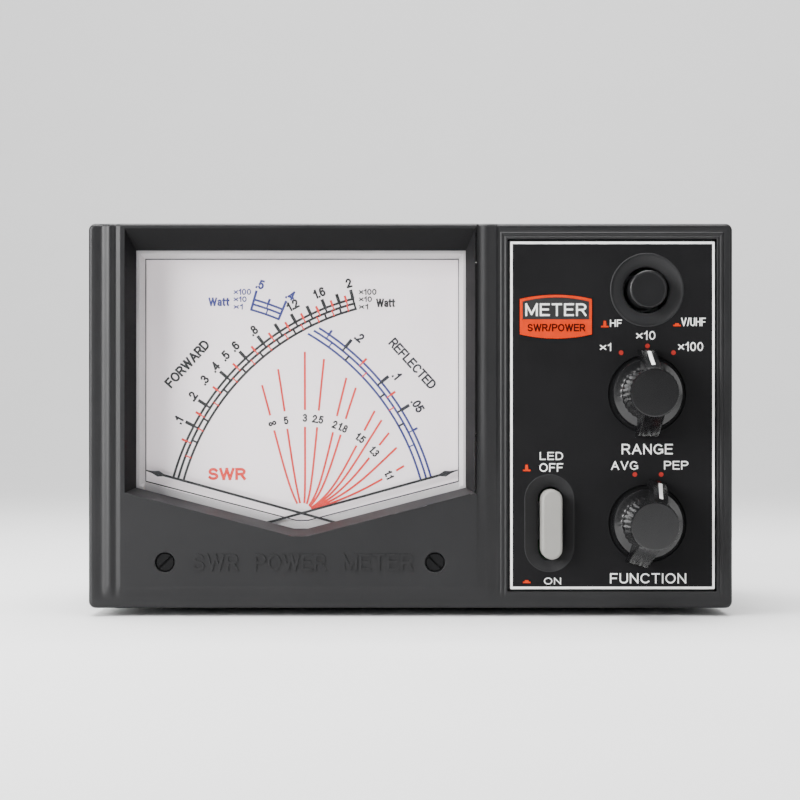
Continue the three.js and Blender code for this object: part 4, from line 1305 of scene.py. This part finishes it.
def knob_tab(bm, place, degrees, reach, width, face_width):
    """A sloping tab from the grip's top out over the skirt, pointing `degrees` clockwise from upright."""
    half, face = width / 2, face_width / 2
    rings = []
    for short, depth in [*TAB_SLOPE, (0, 0.55)]:
        edge = min(0.35, max(0.05, (TAB_BACK - depth) * 0.2))
        section = [(-half, TAB_BACK), (-face - 0.12, depth + edge), (-face + 0.15, depth)]
        section += [(face - 0.15, depth), (face + 0.12, depth + edge), (half, TAB_BACK)]
        ring = []
        for across, back in section:
            x, z = beside_knob(place, across, reach + short, degrees)
            ring.append((x, back, z))
        rings.append(ring)
    rows = loft(bm, rings, closed=False)
    close_ring(bm, rows[-1])


def pointer_line(bm, place, reach):
    """The white line down the pointer's slope."""
    rings = []
    for short in (-4.0, -3.2, -2.1, -1.0, -0.5):
        depth = straight(TAB_SLOPE, short) - 0.05
        ring = []
        for across in (-LINE_HALF_WIDTH, LINE_HALF_WIDTH):
            x, z = beside_knob(place, across, reach + short, place["turn"])
            ring.append((x, depth, z))
        rings.append(ring)
    loft(bm, rings, closed=False)


class SWRMETER_OT_knobs(bpy.types.Operator):
    """Makes the two skirted knobs with their pointers"""

    bl_idname = "swrmeter.knobs"
    bl_label = "Knobs"

    def execute(self, context):
        s = context.scene.swrmeter_controls
        plastic = moulded_plastic("black_knob_abs", s.knob, 0.23, 0.22, 0.008, gloss=0.5)
        ink = screen_ink("white_knob_ink", s.white)
        for name, place in (("range", RANGE_KNOB), ("function", FUNCTION_KNOB)):
            bm = bmesh.new()
            knob_body(bm, place, s.flutes)
            knob_tab(bm, place, place["turn"], **POINTER_TAB)
            knob_tab(bm, place, place["turn"] + 180, **TAIL_TAB)
            shown(f"{name}_grip", bm, [plastic], f"{name}_dial", [f"{name}_knob"])
            bm = bmesh.new()
            pointer_line(bm, place, POINTER_TAB["reach"])
            shown(f"{name}_pointer_line", bm, [ink], f"{name}_dial")
        return {"FINISHED"}


class SWRMETER_OT_buttons(bpy.types.Operator):
    """Makes the round band button and the long lamp button"""

    bl_idname = "swrmeter.buttons"
    bl_label = "Buttons"

    def execute(self, context):
        s = context.scene.swrmeter_controls
        bm = bmesh.new()
        profile = [(3.8, -2.3), (3.92, -2.36), (4.1, -2.4), (4.32, -2.32), (4.5, -2.12), (4.58, -1.8)]
        profile += [(4.6, 6.6)]
        turned(bm, profile, BAND_BUTTON["x"], BAND_BUTTON["z"], 56, closed_back=True)
        black = moulded_plastic("black_button_abs", linear("#131314"), 0.34, 0.3, 0.01)
        shown("band_cap", bm, [black], "band_key", ["band_button"])
        bm = bmesh.new()
        b = LAMP_BUTTON
        rings = []
        for inset, drop in ((0.75, 0), (0.45, 0.05), (0.2, 0.2), (0.05, 0.5), (0, 0.9), (0, 9.4)):
            outline = stadium(b["x"], b["z"], b["width"] - 2 * inset, b["height"] - 2 * inset)
            rings.append(ring_at(outline, b["front"] + drop))
        rows = loft(bm, rings)
        close_ring(bm, rows[0])
        close_ring(bm, rows[-1])
        grey = moulded_plastic("grey_button_abs", s.lamp_key, 0.45, 0.35, 0.012)
        shown("lamp_cap", bm, [grey], "light_key", ["light_button"])
        return {"FINISHED"}


class SWRMETER_OT_switchgear(bpy.types.Operator):
    """Finishes the shafts, switches, plungers and board behind the panel"""

    bl_idname = "swrmeter.switchgear"
    bl_label = "Switches"

    def execute(self, context):
        zinc = bare_metal("zinc_switch_can", linear("#8E9194"), 0.36)
        aluminium = bare_metal("turned_aluminium", linear("#B9BBBD"), 0.3, 0.15, (1, 12, 1))
        nylon = moulded_plastic("natural_nylon", linear("#D8D4C6"), 0.5, 0.4, 0.01)
        for name in ("range", "function"):
            carry(f"{name}_shaft", aluminium, 0.1)
            carry(f"{name}_switch", zinc, 0.2)
        for name in ("band", "light"):
            carry(f"{name}_plunger", nylon, 0.15)
            carry(f"{name}_switch", zinc, 0.15)
        carry("switch_board", circuit_laminate("green_switch_laminate", linear("#2C5637")), 0.1)
        return {"FINISHED"}


# ---------------------------------------------------------------- rear

THREAD_PITCH = 24 / 27  # mm, the usual fine thread of this socket
BARREL_RADIUS = 7.95
THREAD_STOP, BARREL_TIP, BORE_BACK = 92.5, 94.0, 85.0  # depths of a socket's thread, rim and insulator
FLANGE_HALF, FLANGE_THICKNESS, SCREW_REACH = 12.5, 1.6, 9.1
LEGEND_Z, JACK_LEGEND_Z = 46.5, 72.6


def threaded_barrel(bm, x, start, stop):
    """The screw thread outside a socket, one helical ridge; its plain rim is made with the socket's face."""
    sides = 32
    turns = int((stop - start - 1.2) / THREAD_PITCH)
    per_turn = 4
    rings = []
    for i in range(turns * per_turn + 1):
        phase = i % per_turn
        radius = BARREL_RADIUS - (0.0, 0.24, 0.46, 0.24)[phase]
        depth = start + i * THREAD_PITCH / per_turn
        ring = []
        for k in range(sides):
            angle = 2 * math.pi * k / sides
            climb = THREAD_PITCH * k / sides
            ring.append((x + radius * math.cos(angle), depth + climb, SOCKET_Z + radius * math.sin(angle)))
        rings.append(ring)
    for a, b in zip(rings, rings[1:]):
        verts_a = [bm.verts.new(spot(*p)) for p in a]
        verts_b = [bm.verts.new(spot(*p)) for p in b]
        for k in range(sides - 1):
            bm.faces.new((verts_a[k], verts_a[k + 1], verts_b[k + 1], verts_b[k]))
        lift = Vector((0, THREAD_PITCH * MM, 0))
        wrap_a = bm.verts.new(verts_a[0].co + lift)
        wrap_b = bm.verts.new(verts_b[0].co + lift)
        bm.faces.new((verts_a[-1], wrap_a, wrap_b, verts_b[-1]))


def socket_face(bm, x):
    """Square flange, round barrel rim and the bore, behind the threads, with the flange's screw heads."""
    flange = REAR_DEPTH + 0.3
    tip = BARREL_TIP
    half = FLANGE_HALF
    outline = rounded_rectangle(x - half, x + half, SOCKET_Z - half, SOCKET_Z + half, 2)
    half -= 0.25
    inset = rounded_rectangle(x - half, x + half, SOCKET_Z - half, SOCKET_Z + half, 1.8)
    screws = [(x + sx * SCREW_REACH, SOCKET_Z + sz * SCREW_REACH) for sx in (-1, 1) for sz in (-1, 1)]
    back = flange + FLANGE_THICKNESS
    plate(bm, [inset, circle(x, SOCKET_Z, 7.4, 32)], back)
    loft(bm, [ring_at(inset, back), ring_at(outline, back - 0.25), ring_at(outline, flange)])
    core = [(7.45, back), (7.45, tip - 1.5), (7.9, tip - 1.3), (7.9, tip - 0.35), (7.6, tip), (6.1, tip)]
    core += [(6.0, tip - 0.2), (6.0, BORE_BACK), (4.6, BORE_BACK)]
    turned(bm, core, x, SOCKET_Z, 48, closed_front=False)
    for sx, sz in screws:
        screw_head(bm, sx, sz, back)


def screw_head(bm, x, z, back):
    """A round pan head seen from behind, without a cross slot."""
    dome = [(0.05, 1.3), (1.2, 1.25), (2.0, 0.9), (2.35, 0.3), (2.4, 0)]
    turned(bm, [(radius, back + height) for radius, height in dome], x, z, 20)


def rear_legends(white):
    """The names of the sockets and of the lamp supply on the rear sheet, read from behind."""
    bm = bmesh.new()
    depth = REAR_DEPTH + 0.04
    names = ("HF TX", "HF ANT", "V/UHF TX", "V/UHF ANT")
    texts = [(text, x, LEGEND_Z) for text, x in zip(names, SOCKETS.values())]
    texts.append(("DC 12V", JACK["x"], JACK_LEGEND_Z))
    for text, x, z in texts:
        start = len(bm.verts)
        label(bm, text, x, z, 2.6, depth, pen=0.36)
        bm.verts.ensure_lookup_table()
        for vert in bm.verts[start:]:
            vert.co.x = 2 * x * MM - vert.co.x
    shown("rear_legends", bm, [white], "housing")


class SWRMETER_OT_rear(bpy.types.Operator):
    """Makes the threaded sockets and rear legends and finishes what lies behind them"""

    bl_idname = "swrmeter.rear"
    bl_label = "Rear"

    def execute(self, context):
        nickel = bare_metal("nickel_plated_brass", linear("#C9CACB"), 0.22, 0.2)
        insulator = moulded_plastic("white_ptfe", linear("#E6E3DA"), 0.55, 0.5, 0.01, ior=1.36)
        contact = bare_metal("turned_contact_brass", linear("#C2A052"), 0.25)
        for name, x in SOCKETS.items():
            bm = bmesh.new()
            socket_face(bm, x)
            threaded_barrel(bm, x, REAR_DEPTH + 1.9, THREAD_STOP)
            shown(f"{name}_thread_shell", bm, [nickel], "housing", [f"{name}_socket_shell"])
            carry(f"{name}_socket_insulator", insulator)
            carry(f"{name}_socket_contact", contact, 0.1)
        carry("dc_jack", moulded_plastic("black_jack_nylon", linear("#1C1C1E"), 0.45), 0.15)
        tin = bare_metal("tinned_steel", linear("#B4B6B4"), 0.3)
        carry("hf_sensor_box", tin, 0.15)
        carry("vuhf_sensor_box", tin, 0.15)
        rear_legends(screen_ink("white_rear_ink", linear("#DCDCDA")))
        return {"FINISHED"}


# ---------------------------------------------------------------- stage


MIDDLE = (0, FACE_Y, 0.05)
# Each lamp by the setting that holds its power: name, place, aim and size in metres, spread in degrees.
SOFTBOXES = {
    "key_power": ("left_softbox", (-0.5, -0.36, 0.25), MIDDLE, (0.3, 0.45), 120),
    "fill_power": ("right_softbox", (0.75, -0.7, 0.35), MIDDLE, (0.5, 0.6), 120),
    "top_power": ("top_softbox", (-0.05, 0.0, 0.75), (0, 0.02, 0), (0.7, 0.5), 110),
    "wall_power": ("wall_softbox", (0, 0.8, 1.5), (0, 1.7, 0.5), (2.4, 0.6), 180),
    "floor_power": ("floor_softbox", (0, -1.4, 1.3), (0, -2.2, 0), (2.8, 2.0), 100),
}
SENSOR_MM, LENS_MM, LENS_SHIFT = 36, 84.3, 0.0375
CAMERA_X, CAMERA_Z = -0.00252, 0.0449  # metres


def softbox(power, name, place, aim, size, spread):
    """A rectangular lamp at a place, aimed at a point; a grid narrows its spread, in degrees."""
    lamp = bpy.data.lights.new(name, "AREA")
    lamp.spread = math.radians(spread)
    lamp.shape = "RECTANGLE"
    lamp.size, lamp.size_y = size
    lamp.energy = power
    holder = bpy.data.objects.new(name, lamp)
    holder.location = place
    holder.rotation_euler = (Vector(aim) - Vector(place)).to_track_quat("-Z", "Y").to_euler()
    bpy.context.scene.collection.objects.link(holder)


def studio_floor(colour):
    """A pale sheet that lies under the meter and curves up behind it."""
    bm = bmesh.new()
    half_width, front, bend_start, radius = 3.0, -6.0, 0.9, 0.8
    line = [(front, 0.0), (bend_start, 0.0)]
    for i in range(1, 13):
        angle = math.radians(90 * i / 12)
        line.append((bend_start + radius * math.sin(angle), radius * (1 - math.cos(angle))))
    line.append((bend_start + radius, 3.0))
    rows = [[bm.verts.new((x, y, z)) for x in (-half_width, half_width)] for y, z in line]
    for a, b in zip(rows, rows[1:]):
        bm.faces.new((a[0], a[1], b[1], b[0])).smooth = True
    mesh = bpy.data.meshes.new("studio_floor")
    bm.to_mesh(mesh)
    bm.free()
    made, tree, shader = principled("pale_paper", colour, 0.8)
    mottle(tree, shader, 60, colour, 0.01, (0.75, 0.85))
    mesh.materials.append(made)
    floor = bpy.data.objects.new("studio_floor", mesh)
    bpy.context.scene.collection.objects.link(floor)


class SWRMETER_OT_stage(bpy.types.Operator):
    """Sets up the floor, the soft lamps and the camera"""

    bl_idname = "swrmeter.stage"
    bl_label = "Stage"

    def execute(self, context):
        s = context.scene.swrmeter_stage
        scene = context.scene
        studio_floor(s.floor)
        world = bpy.data.worlds.new("soft_daylight")
        world.use_nodes = True
        world.node_tree.nodes["Background"].inputs["Color"].default_value = (1, 1, 1, 1)
        world.node_tree.nodes["Background"].inputs["Strength"].default_value = s.daylight
        scene.world = world
        for power, lamp in SOFTBOXES.items():
            softbox(getattr(s, power), *lamp)
        lens = bpy.data.cameras.new("front_camera")
        lens.sensor_width = SENSOR_MM
        lens.lens = LENS_MM
        lens.shift_y = LENS_SHIFT
        camera = bpy.data.objects.new("front_camera", lens)
        camera.location = (CAMERA_X, FACE_Y - s.distance, CAMERA_Z)
        camera.rotation_euler = (math.radians(90), 0, 0)
        scene.collection.objects.link(camera)
        scene.camera = camera
        return {"FINISHED"}


# ---------------------------------------------------------------- add-on

SETTINGS = {
    "swrmeter_casing": CasingSettings,
    "swrmeter_dial": DialSettings,
    "swrmeter_controls": ControlSettings,
    "swrmeter_stage": StageSettings,
}
OPERATORS = (
    SWRMETER_OT_casing,
    SWRMETER_OT_dial,
    SWRMETER_OT_movements,
    SWRMETER_OT_panel,
    SWRMETER_OT_knobs,
    SWRMETER_OT_buttons,
    SWRMETER_OT_switchgear,
    SWRMETER_OT_rear,
    SWRMETER_OT_stage,
)


class SWRMETER_PT_panel(bpy.types.Panel):
    """Lists the steps that make the meter and the settings they read"""

    bl_label = "SWR meter"
    bl_space_type = "VIEW_3D"
    bl_region_type = "UI"
    bl_category = "SWR meter"

    def draw(self, context):
        for operator in OPERATORS:
            self.layout.operator(operator.bl_idname)
        for attribute, group in SETTINGS.items():
            box = self.layout.box()
            for prop in group.__annotations__:
                box.prop(getattr(context.scene, attribute), prop)


CLASSES = (*SETTINGS.values(), *OPERATORS, SWRMETER_PT_panel)


def register():
    """Registers the classes and hangs the settings on the scene."""
    for cls in CLASSES:
        bpy.utils.register_class(cls)
    for attribute, group in SETTINGS.items():
        setattr(bpy.types.Scene, attribute, PointerProperty(type=group))


def unregister():
    """Undoes register."""
    for attribute in SETTINGS:
        delattr(bpy.types.Scene, attribute)
    for cls in reversed(CLASSES):
        bpy.utils.unregister_class(cls)


def main():
    """Runs every step in order."""
    register()
    for operator in OPERATORS:
        group, step = operator.bl_idname.split(".")
        getattr(getattr(bpy.ops, group), step)()
    bpy.context.view_layer.update()


if __name__ == "__main__":
    main()
